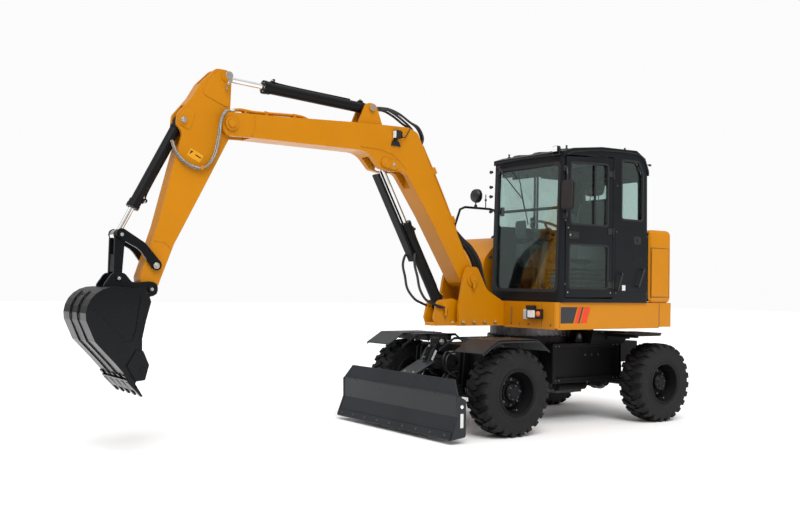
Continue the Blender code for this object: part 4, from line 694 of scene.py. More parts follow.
def front_hoses():
    """Hoses and fittings between the frame's front wall, the blade cylinder and the axle."""
    unions = Shape()
    hoses = Shape()
    wall = 1.122
    for index, y in enumerate((-0.17, -0.125, 0.125, 0.17)):
        z = 0.75 - 0.02 * (index % 2)
        unions.rod((wall - 0.002, y, z), (wall + 0.030, y, z), 0.013, sides=6)
        unions.rod((wall + 0.030, y, z), (wall + 0.050, y, z), 0.010)
        turn = 1 if y > 0 else -1
        hoses.pipe([(wall + 0.045, y, z), (wall + 0.085, y, z - 0.005),
                    (wall + 0.120, y * 1.05, z - 0.06), (wall + 0.105, y, z - 0.15),
                    (wall + 0.05, y + turn * 0.02, z - 0.20), (wall - 0.02, y + turn * 0.04, z - 0.23)],
                   0.0095)
    # long loops from the wall to the cylinder's ports, on the right of the clevis
    for shift, port in ((0.0, 0.06), (0.035, 0.20)):
        start = Vector((wall, -0.090 - shift, 0.795 - shift))
        hoses.pipe([start, start + Vector((0.05, -0.02, 0.012)), start + Vector((0.13, -0.05, -0.03)),
                    (1.30 + port * 0.45, -0.105, 0.70 - port),
                    (1.268 + port * 0.5, -0.070, 0.72 - port * 1.5),
                    (1.262 + port * 0.5, -0.042, 0.745 - port)], 0.009)
    piece("blade_hoses", "chassis", HOSE, hoses)
    piece("blade_hose_unions", "chassis", ZINC, unions)
    block = Shape()
    block.block((wall - 0.001, -0.20, 0.625), (wall + 0.028, 0.20, 0.665))
    block.block((wall - 0.001, 0.235, 0.70), (wall + 0.05, 0.30, 0.78))
    piece("front_wall_brackets", "chassis", CHASSIS_BLACK, block, edge=0.003)
    pins = Shape()
    for side in (1, -1):
        pins.rod(across(BLADE_CYL_TOP, side * 0.070), across(BLADE_CYL_TOP, side * 0.078), 0.030)
        pins.bolt(across(BLADE_CYL_TOP, side * 0.078), (0, side, 0), 0.010)
        pins.rod(across(BLADE_HINGE, side * 0.412), across(BLADE_HINGE, side * 0.420), 0.042)
        pins.bolt(across(BLADE_HINGE, side * 0.420), (0, side, 0), 0.010)
    piece("blade_pins", "chassis", ZINC, pins)


def axle_fittings():
    """Bolt rings, ribs and kingpin caps on both axles, and steering cylinder glands."""
    front_rim, rear_rim = span("rim_front_left"), span("rim_rear_left")
    x_front = (front_rim[0].x + front_rim[1].x) / 2
    x_rear = (rear_rim[0].x + rear_rim[1].x) / 2
    height = (front_rim[0].z + front_rim[1].z) / 2
    dark = Shape()
    for x in (x_front, x_rear):
        for side in (1, -1):
            dark.turned([(0.120, 0.026), (0.150, 0.026), (0.150, 0.040), (0.120, 0.040)],
                        (x, 0, height), (0, side, 0), 40)
            dark.bolt_circle((x, side * 0.040, height), (0, side, 0), 0.137, 12, 0.007)
    for side in (1, -1):
        dark.bolt_circle((x_rear, side * 0.700, height), (0, side, 0), 0.118, 10, 0.008)
        for up in (1, -1):
            cap = (x_front, side * 0.62, height + up * 0.165)
            dark.rod(cap, Vector(cap) + Vector((0, 0, up * 0.014)), 0.042, sides=28)
            dark.bolt_circle(Vector(cap) + Vector((0, 0, up * 0.014)), (0, 0, up), 0.030, 4, 0.006)
    piece("axle_fittings", "chassis", STEEL_GREY, dark)
    ram = Shape()
    tie_x, tie_z = x_front - 0.13, 0.315
    for side in (1, -1):
        ram.turned([(0.0195, 0), (0.046, 0), (0.046, 0.022), (0.038, 0.030), (0.0195, 0.030)],
                   (tie_x, side * 0.238, tie_z), (0, side, 0), 28)
        ram.rod((tie_x, side * 0.17, tie_z + 0.035), (tie_x, side * 0.17, tie_z + 0.062), 0.010, sides=6)
    piece("steering_cylinder_glands", "chassis", CHASSIS_BLACK, ram)
    hose = Shape()
    for side in (1, -1):
        hose.pipe([(tie_x, side * 0.17, tie_z + 0.055), (tie_x, side * 0.17, tie_z + 0.10),
                   (tie_x - 0.05, side * 0.185, tie_z + 0.17), (tie_x - 0.09, side * 0.21, tie_z + 0.25),
                   (tie_x - 0.08, side * 0.24, tie_z + 0.30)], 0.008)
        hose.pipe([(x_front - 0.05, side * 0.40, height + 0.06),
                   (x_front - 0.09, side * 0.38, height + 0.12),
                   (x_front - 0.10, side * 0.33, height + 0.17),
                   (x_front - 0.09, side * 0.29, height + 0.21)], 0.007)
    piece("axle_hoses", "chassis", HOSE, hose)
    for name, side in SIDES:
        end = Shape()
        end.bolt_circle((x_front, side * 0.640, height), (0, side, 0), 0.098, 10, 0.007)
        end.rod((tie_x, side * 0.577, 0.330), (tie_x, side * 0.577, 0.3385), 0.014, sides=16)
        piece("knuckle_%s_bolts" % name, "knuckle_" + name, STEEL_GREY, end)
    joints = Shape()
    for x in (-0.25, x_front - 0.24, x_rear + 0.24):
        for turn in (0, 1):
            arm = Vector((0, math.cos(turn * math.pi / 2 + 0.4), math.sin(turn * math.pi / 2 + 0.4)))
            joints.rod(Vector((x, 0, 0.36)) - arm * 0.052, Vector((x, 0, 0.36)) + arm * 0.052, 0.013)
    for y in (-0.10, 0.0, 0.10):
        joints.bolt((-0.66, y, 0.33), (-1, 0, 0), 0.008)
        joints.bolt((-0.28, y * 1.3, 0.40), (1, 0, 0), 0.008)
    joints.rod((-0.47, 0.17, 0.33), (-0.47, 0.19, 0.33), 0.018, sides=6)
    piece("shaft_joints", "chassis", STEEL_GREY, joints)


def fender_fittings():
    """Bolts, under-ribs, turned-down edges and mud flaps of the front fenders."""
    for name, side in SIDES:
        low, high = span("front_fender_" + name)
        top = high.z
        bolts = Shape()
        for x in (0.805, 0.845, 1.085, 1.125):
            bolts.bolt((x, side * 0.60, top), (0, 0, 1), 0.007)
        piece("fender_%s_bolts" % name, "chassis", STEEL_GREY, bolts)
        edge = Shape()
        outer = high.y if side > 0 else low.y
        lip = sorted((outer, outer - side * 0.006))
        line = [(0.600, top - 0.105), (0.745, top), (1.245, top), (1.430, top - 0.112)]
        drop = [(x, z - 0.026) for x, z in reversed(line)]
        edge.slab(line + drop, "xz", *lip)
        inner = low.y if side > 0 else high.y
        edge.slab(line + drop, "xz", *sorted((inner, inner + side * 0.006)))
        for x in (0.78, 0.98, 1.18):
            ends = sorted((inner + side * 0.006, outer - side * 0.02))
            edge.block((x, ends[0], top - 0.030), (x + 0.006, ends[1], top - 0.009))
        piece("fender_%s_edges" % name, "chassis", BLADE_GREY, edge, edge=0.0015)


def blade_fittings():
    """Bolted cutting edge, welds, stiffeners, cover plate, label and reflector."""
    high = span("blade")[1]
    half, edge_x = high.y - 0.006, high.x
    face = [(edge_x - 0.002, 0.043), (edge_x - 0.026, 0.105)]
    out = Vector((face[1][1] - face[0][1], 0, face[0][0] - face[1][0])).normalized()
    shape = Shape()
    lift = [(p[0] + out.x * 0.012, p[1] + out.z * 0.012) for p in face]
    shape.slab([(face[0][0], face[0][1] + 0.001), lift[0], lift[1], face[1]], "xz",
               -half + 0.012, half - 0.012)
    piece("blade_cutting_edge", "blade", BLADE_GREY, shape, edge=0.003)
    bolts = Shape()
    for index in range(9):
        y = (index - 4) * 0.215
        middle = Vector((sum(p[0] for p in lift) / 2, y, sum(p[1] for p in lift) / 2))
        bolts.rod(middle - out * 0.002, middle + out * 0.0025, 0.011)
        back = middle - out * 0.030
        bolts.bolt(back - out * 0.004, -out, 0.011)
    piece("blade_edge_bolts", "blade", STEEL_GREY, bolts)
    ribs = Shape()
    for y in (-0.80, -0.52, -0.17, 0.17, 0.52, 0.80):
        web = [(edge_x - 0.088, 0.225), (edge_x - 0.17, 0.222), (edge_x - 0.165, 0.27),
               (edge_x - 0.110, 0.405), (edge_x - 0.088, 0.41)]
        ribs.slab(web, "xz", y - 0.005, y + 0.005)
    piece("blade_ribs", "blade", CHASSIS_BLACK, ribs, edge=0.002)
    welds = Shape()
    for side in (1, -1):
        y = side * (half - 0.014)
        welds.weld([(edge_x - 0.024, y, 0.108), (edge_x - 0.076, y, 0.240), (edge_x - 0.071, y, 0.428)])
    welds.weld([(edge_x - 0.0705, -half + 0.02, 0.436), (edge_x - 0.0705, half - 0.02, 0.436)], 0.005)
    welds.weld([(edge_x - 0.027, -half + 0.02, 0.112), (edge_x - 0.027, half - 0.02, 0.112)], 0.004)
    piece("blade_welds", "blade", BLADE_GREY, welds)
    cover = Shape()
    plate = [(1.345, 0.655), (1.62, 0.520), (1.625, 0.530), (1.350, 0.665)]
    cover.slab(plate, "xz", -0.135, 0.135)
    cover.slab([(1.50, 0.36), (1.53, 0.36), (1.53, 0.575), (1.50, 0.59)], "xz", -0.130, -0.122)
    cover.slab([(1.50, 0.36), (1.53, 0.36), (1.53, 0.575), (1.50, 0.59)], "xz", 0.122, 0.130)
    piece("blade_hose_cover", "blade", BLADE_GREY, cover, edge=0.003)
    screws = Shape()
    for y in (-0.07, 0.07):
        screws.bolt((1.56, y, 0.561), (0.43, 0, 0.9), 0.009)
    piece("blade_cover_bolts", "blade", ZINC, screws)
    for name, side in SIDES:
        label = Shape()
        y = side * (half + 0.006)
        ends = sorted((y - side * 0.001, y + side * 0.0012))
        label.slab([(1.655, 0.145), (1.690, 0.145), (1.690, 0.270), (1.655, 0.270)], "xz", *ends)
        piece("blade_label_" + name, "blade", LABEL_WHITE, label)
        spot = Shape()
        spot.rod((1.674, ends[0], 0.330), (1.674, ends[1] + 0.002, 0.330), 0.016, sides=24)
        piece("blade_reflector_" + name, "blade", CLEAR_LENS, spot)
    seal = Shape()
    for side in (1, -1):
        y = side * 0.35
        seal.turned([(0.036, 0.0182), (0.052, 0.0182), (0.050, 0.023), (0.036, 0.023)],
                    across(BLADE_HINGE, y), (0, 1, 0), 28)
        seal.turned([(0.036, 0.0182), (0.052, 0.0182), (0.050, 0.023), (0.036, 0.023)],
                    across(BLADE_HINGE, y), (0, -1, 0), 28)
    piece("blade_hinge_rings", "blade", STEEL_GREY, seal)


# ------------------------------------------------------------------ cylinders
def cylinder_fittings(name, foot, eye, length, radius, rod, body, side_ports, guard=0):
    """Gland nut, end cap, ports with unions and the long oil pipe on one barrel."""
    foot, eye = across(foot), across(eye)
    line = (eye - foot).normalized()
    normal = Vector((-line.z, 0, line.x)) * side_ports
    cross = Vector((0, 1, 0))
    dark = Shape()
    head = foot + line * length
    dark.turned([(rod + 0.002, -0.004), (radius + 0.010, -0.004), (radius + 0.010, -0.034),
                 (radius + 0.007, -0.038), (radius + 0.007, -0.070), (rod + 0.002, -0.070)],
                head + line * 0.010, line, 40)
    dark.turned([(radius - 0.001, 0), (radius + 0.005, 0), (radius + 0.003, 0.020),
                 (radius - 0.001, 0.022)],
                foot + line * 0.060, line, 40)
    for along in (0.085, length - 0.085):
        base = foot + line * along + normal * (radius - 0.004)
        dark.block_at(base, line, cross, normal, (0.020, 0.018, 0.020))
    piece(name + "_glands", body, CHASSIS_BLACK, dark, smooth=30)
    metal_parts = Shape()
    for along in (0.085, length - 0.085):
        base = foot + line * along + normal * (radius + 0.014)
        metal_parts.rod(base, base + normal * 0.016, 0.011, sides=6)
    if not guard:
        metal_parts.bolt_circle(head + line * 0.006, line, radius - 0.006, 6, 0.006)
    piece(name + "_unions", body, ZINC, metal_parts)
    pipe = Shape()
    top = foot + line * (length - 0.085) + normal * (radius + 0.028)
    low = foot + line * 0.20 + normal * (radius + 0.006)
    pipe.pipe([top, top + normal * 0.006 - line * 0.020, foot + line * (length - 0.16)
               + normal * (radius + 0.006), low + line * 0.1, low], 0.0075, sides=12)
    piece(name + "_oil_pipe", body, CHASSIS_BLACK, pipe)
    return foot + line * 0.085 + normal * (radius + 0.028), low, line, normal


def cylinders():
    """Fittings of the four rams in the machine's middle plane."""
    cylinder_fittings("arm_cylinder", ARM_CYL_FOOT, ARM_CYL_EYE, 1.10, 0.050, 0.026,
                      "arm_barrel", 1)
    cylinder_fittings("bucket_cylinder", BUCKET_CYL_FOOT, LINK_TOP, 0.835, 0.044, 0.024,
                      "bucket_barrel", -1)
    cylinder_fittings("boom_cylinder", BOOM_CYL_FOOT, BOOM_CYL_EYE, 0.92, 0.056, 0.030,
                      "boom_barrel", 1)
    cylinder_fittings("blade_cylinder", BLADE_CYL_TOP, BLADE_CYL_EYE, 0.29, 0.040, 0.020,
                      "blade_barrel", 1)
    label = Shape()
    line = (across(BLADE_CYL_EYE) - across(BLADE_CYL_TOP)).normalized()
    normal = Vector((line.z, 0, -line.x))
    side = (normal * 0.2 + Vector((0, 1, 0))).normalized()
    up = side.cross(line)
    label.block_at(across(BLADE_CYL_TOP) + line * 0.15 - side * -0.0405, line, up, side,
                   (0.055, 0.014, 0.0008))
    piece("blade_cylinder_label", "blade_barrel", LABEL_WHITE, label)


# ------------------------------------------------------------------ deck and hoods
def deck_fittings():
    """Headlamp cluster, stripes, seam, blank plates, lower lip and bolts of the deck."""
    low, high = span("deck")
    front, half, top, bottom = high.x, high.y, high.z, low.z
    lip = Shape()
    for side in (1, -1):
        ends = sorted((side * (half - 0.02), side * (half + 0.003)))
        lip.block((low.x + 0.004, ends[0], bottom - 0.012), (front - 0.03, ends[1], bottom + 0.004))
    lip.block((front - 0.02, 0.20, bottom - 0.012), (front + 0.003, half - 0.03, bottom + 0.004))
    lip.block((front - 0.02, -half + 0.03, bottom - 0.012), (front + 0.003, -0.20, bottom + 0.004))
    piece("deck_lip", "upper", YELLOW, lip, edge=0.002)
    seams = Shape()
    for side in (1, -1):
        ends = sorted((side * (half - 0.003), side * (half + 0.0008)))
        seams.block((low.x - 0.004, ends[0], bottom + 0.002), (low.x + 0.003, ends[1], top - 0.002))
        seams.block((front - 0.055, ends[0], bottom + 0.002), (front - 0.052, ends[1], top - 0.002))
    seams.block((front - 0.002, 0.735, bottom + 0.01), (front + 0.0008, 0.738, top - 0.012))
    piece("deck_seams", "upper", SEAL_RUBBER, seams)
    bolts = Shape()
    for index in range(9):
        x = low.x + 0.10 + index * 0.17
        for side in (1, -1):
            bolts.bolt((x, side * (half - 0.05), bottom), (0, 0, -1), 0.009)
    for y in (0.30, 0.42, 0.55, 0.86):
        bolts.bolt((front, y, bottom + 0.03), (1, 0, 0), 0.006)
    piece("deck_bolts", "upper", STEEL_GREY, bolts)
    # dark panel and slanted stripes on the side
    slant = 0.36
    stripes = [("side_panel", STRIPE_DARK, 0.435, 0.205), ("stripe_one", STRIPE_RED, 0.190, 0.140),
               ("stripe_gap", STRIPE_DARK, 0.140, 0.118), ("stripe_two", STRIPE_RED, 0.105, 0.020)]
    low_z, high_z = bottom + 0.050, top - 0.045
    lean = (high_z - low_z) * slant
    for name, finish, ahead, behind in stripes:
        for hand, side in SIDES:
            ends = sorted((side * half, side * (half + 0.0010)))
            square = name == "side_panel"
            shape = Shape()
            shape.slab([(ahead + (0 if square else lean), low_z), (behind + lean, low_z),
                        (behind, high_z), (ahead, high_z)], "xz", *ends)
            piece("%s_%s" % (name, hand), "upper", finish, shape)
    # headlamp cluster on the deck's front corner
    inner = 0.56
    outer = inner + 0.20
    for hand, side in SIDES:
        ends = sorted((side * inner, side * outer))
        shell = Shape()
        z0, z1 = 1.095, 1.190
        shell.slab([(ends[0], z0), (ends[1], z0), (ends[1], z1), (ends[0], z1)], "yz",
                   front + 0.0005, front + 0.020)
        for a, b in (((ends[0], z0), (ends[1], z0 + 0.008)), ((ends[0], z1 - 0.008), (ends[1], z1)),
                     ((ends[0], z0), (ends[0] + 0.008, z1)), ((ends[1] - 0.008, z0), (ends[1], z1))):
            shell.block((front + 0.018, a[0], a[1]), (front + 0.040, b[0], b[1]))
        hood = sorted((side * inner, side * (inner + 0.10)))
        shell.block((front + 0.0005, hood[0], z1), (front + 0.05, hood[1], z1 + 0.035))
        piece("headlamp_housing_" + hand, "upper", TRIM_BLACK, shell, edge=0.003)
        bowl = Shape()
        middle = side * (inner + 0.062)
        bowl.block((front + 0.020, middle - 0.048, z0 + 0.014),
                   (front + 0.031, middle + 0.048, z1 - 0.014))
        piece("headlamp_reflector_" + hand, "upper", MIRROR, bowl, edge=0.004)
        glass = Shape()
        glass.block((front + 0.032, middle - 0.050, z0 + 0.011),
                    (front + 0.039, middle + 0.050, z1 - 0.011))
        piece("headlamp_lens_" + hand, "upper", CLEAR_LENS, glass, edge=0.003)
        amber = Shape()
        spot = (front + 0.020, side * (outer - 0.046), (z0 + z1) / 2)
        amber.turned([(0.0001, 0), (0.030, 0), (0.030, 0.010), (0.022, 0.018), (0.0001, 0.021)],
                     spot, (1, 0, 0), 32)
        piece("indicator_lens_" + hand, "upper", AMBER_LENS, amber)
    plate = Shape()
    plate.block((front + 0.0003, 0.475, 1.085), (front + 0.003, 0.545, 1.185))
    piece("deck_blank_plate", "upper", LABEL_WHITE, plate, edge=0.001)
    strip = Shape()
    strip.block((front + 0.0003, 0.300, 1.040), (front + 0.006, 0.312, 1.205))
    piece("deck_reflector_strip", "upper", HOSE_SLEEVE, strip, edge=0.001)


def tail_fittings():
    """Seams, lamps, reflectors, lifting holes and blank plate of the counterweight."""
    back = span("counterweight")[0].x
    dark = Shape()
    for y in (-0.48, 0.48):
        x = back + (1 - math.cos(y / 1.35)) * 1.35
        dark.rod((x + 0.012, y, 1.225), (x - 0.006, y, 1.225), 0.022, sides=28)
    dark.rod((-1.30, 0.70, 1.2605), (-1.30, 0.70, 1.2622), 0.02)
    piece("tail_plugs", "upper", SEAL_RUBBER, dark)
    for hand, side in SIDES:
        y = side * 0.66
        x = back + 0.205
        turn = Vector((-0.86, side * 0.51, 0))
        cross = Vector((0, 0, 1)).cross(turn)
        box_ = Shape()
        box_.block_at(Vector((x, y, 1.135)), cross, Vector((0, 0, 1)), turn, (0.078, 0.040, 0.020))
        piece("tail_lamp_housing_" + hand, "upper", TRIM_BLACK, box_, edge=0.004)
        for shift, finish, name in ((-0.036, RED_LENS, "tail_lens_"), (0.036, AMBER_LENS, "turn_lens_")):
            lamp = Shape()
            lamp.block_at(Vector((x, y, 1.135)) + cross * shift + turn * 0.022, cross,
                          Vector((0, 0, 1)), turn, (0.033, 0.033, 0.006))
            piece(name + hand, "upper", finish, lamp, edge=0.003)
    plate = Shape()
    plate.block((back - 0.004, -0.14, 1.07), (back + 0.004, 0.14, 1.18))
    piece("tail_blank_plate", "upper", LABEL_WHITE, plate, edge=0.001)


def ribbon(shape, points, tall, thick):
    """A strip stood on edge along plan points, from low z to high z."""
    rows = []
    for index, (x, y) in enumerate(points):
        before = Vector(points[max(index - 1, 0)])
        after = Vector(points[min(index + 1, len(points) - 1)])
        along = (after - before).normalized()
        out = Vector((-along.y, along.x)) * thick
        rows.append([Vector((x - out.x, y - out.y, tall[0])), Vector((x + out.x, y + out.y, tall[0])),
                     Vector((x + out.x, y + out.y, tall[1])), Vector((x - out.x, y - out.y, tall[1]))])
    shape.loft(rows)


def hood_plan(share=1.0, shrink=0.0):
    """Plan points round the engine hood's back, from the left side to the right."""
    low, high = span("engine_hood")
    side_x, middle_x, half = -1.212, low.x, high.y
    centre = (side_x ** 2 + half ** 2 - middle_x ** 2) / (2 * (side_x - middle_x))
    radius = centre - middle_x - shrink
    corner = math.pi - math.atan2(half - shrink, centre - side_x)
    reach = (math.pi - corner) * share
    count = 24
    return [(centre + radius * math.cos(math.pi - reach + 2 * reach * step / count),
             radius * math.sin(math.pi - reach + 2 * reach * step / count))
            for step in range(count + 1)]


def engine_hood_fittings():
    """Side panels, rear louvres, latch, hinges, top grille and exhaust of the rear hood."""
    low, high = span("engine_hood")
    half, top = high.y, high.z
    body = "engine_hood"
    panel = Shape()
    for side in (1, -1):
        ends = sorted((side * (half - 0.001), side * (half + 0.0045)))
        outline = [(-0.905, 1.33), (-1.175, 1.33), (-1.175, 1.80), (-1.155, 1.83), (-0.925, 1.83),
                   (-0.905, 1.80)]
        panel.slab(outline, "xz", *ends)
    piece("hood_side_panels", body, YELLOW, panel, edge=0.004)
    seam = Shape()
    for side in (1, -1):
        ends = sorted((side * (half - 0.002), side * (half + 0.0008)))
        for box_ in (((-0.896, 1.318), (-0.893, 1.842)), ((-1.190, 1.318), (-1.187, 1.842)),
                     ((-1.190, 1.318), (-0.893, 1.321)), ((-1.190, 1.839), (-0.893, 1.842))):
            seam.block((box_[0][0], ends[0], box_[0][1]), (box_[1][0], ends[1], box_[1][1]))
    piece("hood_seams", body, SEAL_RUBBER, seam)
    louvres = Shape()
    for level in range(7):
        z = 1.44 + level * 0.045
        ribbon(louvres, hood_plan(0.50, -0.003), (z, z + 0.016), 0.006)
    piece("hood_louvres", body, YELLOW, louvres, edge=0.003)
    backing = Shape()
    ribbon(backing, hood_plan(0.52, -0.0005), (1.425, 1.745), 0.0016)
    piece("hood_mesh", body, TRIM_BLACK, backing)
    grille = Shape()
    for index in range(14):
        x = -1.30 + index * 0.020
        grille.block((x, -0.34, top - 0.002), (x + 0.009, 0.34, top + 0.005))
    grille.block((-1.325, -0.36, top - 0.002), (-1.308, 0.36, top + 0.006))
    grille.block((-1.020, -0.36, top - 0.002), (-1.003, 0.36, top + 0.006))
    for y in (-0.36, 0.344):
        grille.block((-1.325, y, top - 0.002), (-1.003, y + 0.016, top + 0.006))
    piece("hood_top_grille", body, TRIM_BLACK, grille, edge=0.0015)
    hinges = Shape()
    for y in (-0.55, 0.0, 0.60):
        hinges.rod((-0.868, y - 0.045, top - 0.002), (-0.868, y + 0.045, top - 0.002), 0.008, sides=14)
        hinges.block((-0.905, y - 0.035, top - 0.004), (-0.865, y + 0.035, top + 0.004))
    latch_x = low.x - 0.001
    hinges.turned([(0.0001, -0.004), (0.024, -0.004), (0.024, 0.006), (0.018, 0.010), (0.0001, 0.010)],
                  (latch_x, 0, 1.38), (-1, 0, 0), 28)
    hinges.block((latch_x - 0.022, -0.012, 1.345), (latch_x - 0.008, 0.012, 1.40))
    piece("hood_hinges_and_latch", body, TRIM_BLACK, hinges, edge=0.002)
    pipe = Shape()
    pipe.turned([(0.031, 0), (0.036, 0), (0.036, 0.085), (0.031, 0.085)], (-1.16, -0.52, top - 0.002),
                (0, 0, 1), 32)
    pipe.pipe([(-1.16, -0.52, top + 0.08), (-1.165, -0.52, top + 0.11), (-1.19, -0.52, top + 0.135),
               (-1.23, -0.52, top + 0.145)], 0.032, sides=24)
    piece("exhaust_pipe", body, STEEL_GREY, pipe)


def right_hood_fittings():
    """Seams, latch, filler cap, bolts and side grille of the tank hood, and its mirror."""
    low, high = span("right_hood")
    outer, top = low.y, high.z
    body = "right_hood"
    seam = Shape()
    for x in (-0.845, -0.38, 0.06):
        seam.block((x, outer - 0.0008, 1.29), (x + 0.003, outer + 0.002, top - 0.07))
    seam.block((-0.845, outer - 0.0008, 1.285), (0.40, outer + 0.002, 1.288))
    seam.block((-0.845, outer - 0.0008, top - 0.07), (0.12, outer + 0.002, top - 0.067))
    piece("tank_hood_seams", body, SEAL_RUBBER, seam)
    grille = Shape()
    for index in range(11):
        z = 1.42 + index * 0.030
        grille.slab([(outer + 0.002, z), (outer - 0.008, z + 0.004), (outer - 0.008, z + 0.007),
                     (outer + 0.002, z + 0.018)], "yz", -0.78, -0.45)
    piece("tank_hood_louvres", body, YELLOW, grille, edge=0.0015)
    trim = Shape()
    for x in (-0.50, -0.05, 0.28):
        trim.block((x, outer - 0.009, 1.60), (x + 0.075, outer + 0.001, 1.645))
        trim.block((x + 0.012, outer - 0.014, 1.612), (x + 0.063, outer - 0.008, 1.633))
    trim.turned([(0.0001, 0), (0.046, 0), (0.046, 0.022), (0.038, 0.030), (0.0001, 0.030)],
                (-0.05, -0.60, top - 0.001), (0, 0, 1), 40)
    trim.block((-0.058, -0.638, top + 0.026), (-0.042, -0.562, top + 0.040))
    piece("tank_cap_and_latches", body, TRIM_BLACK, trim, edge=0.002)
    grip = Shape()
    for index in range(5):
        for row in range(3):
            x, y = -0.70 + index * 0.09, -0.78 + row * 0.16
            grip.block((x, y, top - 0.001), (x + 0.065, y + 0.022, top + 0.0035))
    piece("anti_slip_strips", body, TRIM_BLACK, grip, edge=0.0012)
    feet = Shape()
    feet.rod((-0.30, -0.84, top), (-0.30, -0.84, top + 0.006), 0.034, sides=24)
    for turn in (0.8, 2.4, 3.9, 5.5):
        feet.bolt((-0.30 + 0.023 * math.cos(turn), -0.84 + 0.023 * math.sin(turn), top + 0.006),
                  (0, 0, 1), 0.005, washer=False)
    piece("handrail_foot", body, TRIM_BLACK, feet)
    face = Shape()
    face.turned([(0.0001, 0), (0.068, 0), (0.068, 0.003), (0.040, 0.008), (0.0001, 0.010)],
                (0.0195, -0.84, 2.45), (-1, 0, 0), 40)
    piece("right_mirror_glass", body, MIRROR, face)
    rim_ = Shape()
    rim_.turned([(0.068, -0.002), (0.079, -0.002), (0.079, 0.012), (0.070, 0.014)],
                (0.020, -0.84, 2.45), (-1, 0, 0), 40)
    rim_.turned([(0.0001, 0.0), (0.079, 0.0), (0.070, 0.020), (0.040, 0.034), (0.0001, 0.038)],
                (0.045, -0.84, 2.45), (1, 0, 0), 40)
    rim_.rod((0.04, -0.84, 2.30), (0.04, -0.84, 2.345), 0.018, sides=20)
    rim_.rod((-0.11, -0.84, 2.31), (-0.11, -0.84, 2.475), 0.006, sides=12)
    rim_.rod((-0.11, -0.84, 2.40), (-0.11, -0.84, 2.420), 0.013, sides=16)
    piece("right_mirror_back", body, TRIM_BLACK, rim_)


# ------------------------------------------------------------------ cab
def frame_ring(shape, outline, plane, depth, width):
    """A strip laid round the edge of an opening, width wide, in a plane."""
    count = len(outline)
    middle = Vector((sum(p[0] for p in outline) / count, sum(p[1] for p in outline) / count))
    lift = {"xz": lambda u, v, w: Vector((u, w, v)), "yz": lambda u, v, w: Vector((w, u, v))}[plane]
    rows = []
    for index, place in enumerate(outline):
        here = Vector(place)
        before = (Vector(outline[index - 1]) - here).normalized()
        after = (Vector(outline[(index + 1) % count]) - here).normalized()
        inward = before + after
        if inward.length < 0.05:
            inward = Vector((-after.y, after.x))
        inward.normalize()
        if inward.dot(middle - here) < 0:
            inward = -inward
        rows.append([lift(*(here + inward * share), level)
                     for share, level in ((0.0, depth[0]), (width, depth[0]),
                                          (width, depth[1]), (0.0, depth[1]))])
    shape.loft(rows, joined=True)


def rounded(corners, radius=0.05, steps=5):
    """An outline with every corner turned into an arc."""
    points = []
    count = len(corners)
    for index, corner in enumerate(corners):
        here = Vector(corner)
        before = (Vector(corners[index - 1]) - here).normalized()
        after = (Vector(corners[(index + 1) % count]) - here).normalized()
        half_angle = before.angle(after) / 2
        reach = radius / math.tan(half_angle)
        middle = here + (before + after).normalized() * radius / math.sin(half_angle)
        first = here + before * reach - middle
        turn = first.angle_signed(here + after * reach - middle)
        for step in range(steps + 1):
            points.append(tuple(middle + Matrix.Rotation(-turn * step / steps, 2) @ first))
    return points


def cab_seals():
    """Rubber seals round every window and the door, and the door's gap."""
    low, high = span("cab_frame")
    left, right, front, rear = high.y, low.y, high.x, low.x
    rear_x, front_x = (corner.x for corner in span("cab_door"))
    seals = Shape()
    lean = 0.024
    windscreen = rounded([(right + 0.06, 1.37), (left - 0.06, 1.37), (left - 0.06, 2.63),
                          (right + 0.06, 2.63)], 0.055)
    rows = []
    for y, z in windscreen:
        inward = Vector((math.copysign(1, (left + right) / 2 - y), math.copysign(1, 2.0 - z)))
        x = front - 0.006 - lean * (z - 1.3)
        rows.append([Vector((x + dx, y + inward.x * share, z + inward.y * share))
                     for share, dx in ((-0.012, 0.010), (0.020, 0.008), (0.020, -0.012),
                                       (-0.012, -0.030))])
    seals.loft(rows, joined=True)
    frame_ring(seals, rounded([(0.02, 2.06), (0.84, 2.06), (0.84, 2.56), (0.02, 2.56)]), "yz",
               (rear - 0.003, rear + 0.020), 0.022)
    quarter = rounded([(-0.735, 2.10), (-0.388, 2.10), (-0.388, 2.73), (-0.665, 2.73), (-0.735, 2.60)],
                      0.04)
    frame_ring(seals, quarter, "xz", (left - 0.020, left + 0.003), 0.020)
    side = rounded([(-0.70, 2.02), (0.38, 2.02), (0.36, 2.63), (-0.66, 2.70)])
    frame_ring(seals, side, "xz", (right - 0.003, right + 0.020), 0.022)
    piece("cab_window_seals", "upper", SEAL_RUBBER, seals, edge=0.002)
    door = Shape()
    for z_low, z_high, back, ahead in ((2.02, 2.65, 0.06, 0.05), (1.39, 1.84, 0.055, 0.04)):
        outline = rounded([(rear_x + back, z_low), (front_x - ahead, z_low),
                           (front_x - ahead, z_high - (0.012 if z_low > 2 else 0)),
                           (rear_x + back, z_high + (0.012 if z_low > 2 else 0))], 0.04)
        frame_ring(door, outline, "xz", (left - 0.016, left + 0.003), 0.018)
    door.block((rear_x + 0.24, left - 0.018, 2.03), (rear_x + 0.262, left - 0.004, 2.63))
    piece("door_window_seals", "cab_door", SEAL_RUBBER, door, edge=0.002)
    lower = Shape()
    lower.block((rear_x + 0.060, left - 0.012, 1.395), (front_x - 0.045, left - 0.007, 1.835))
    piece("door_lower_glass", "cab_door", GLASS, lower)


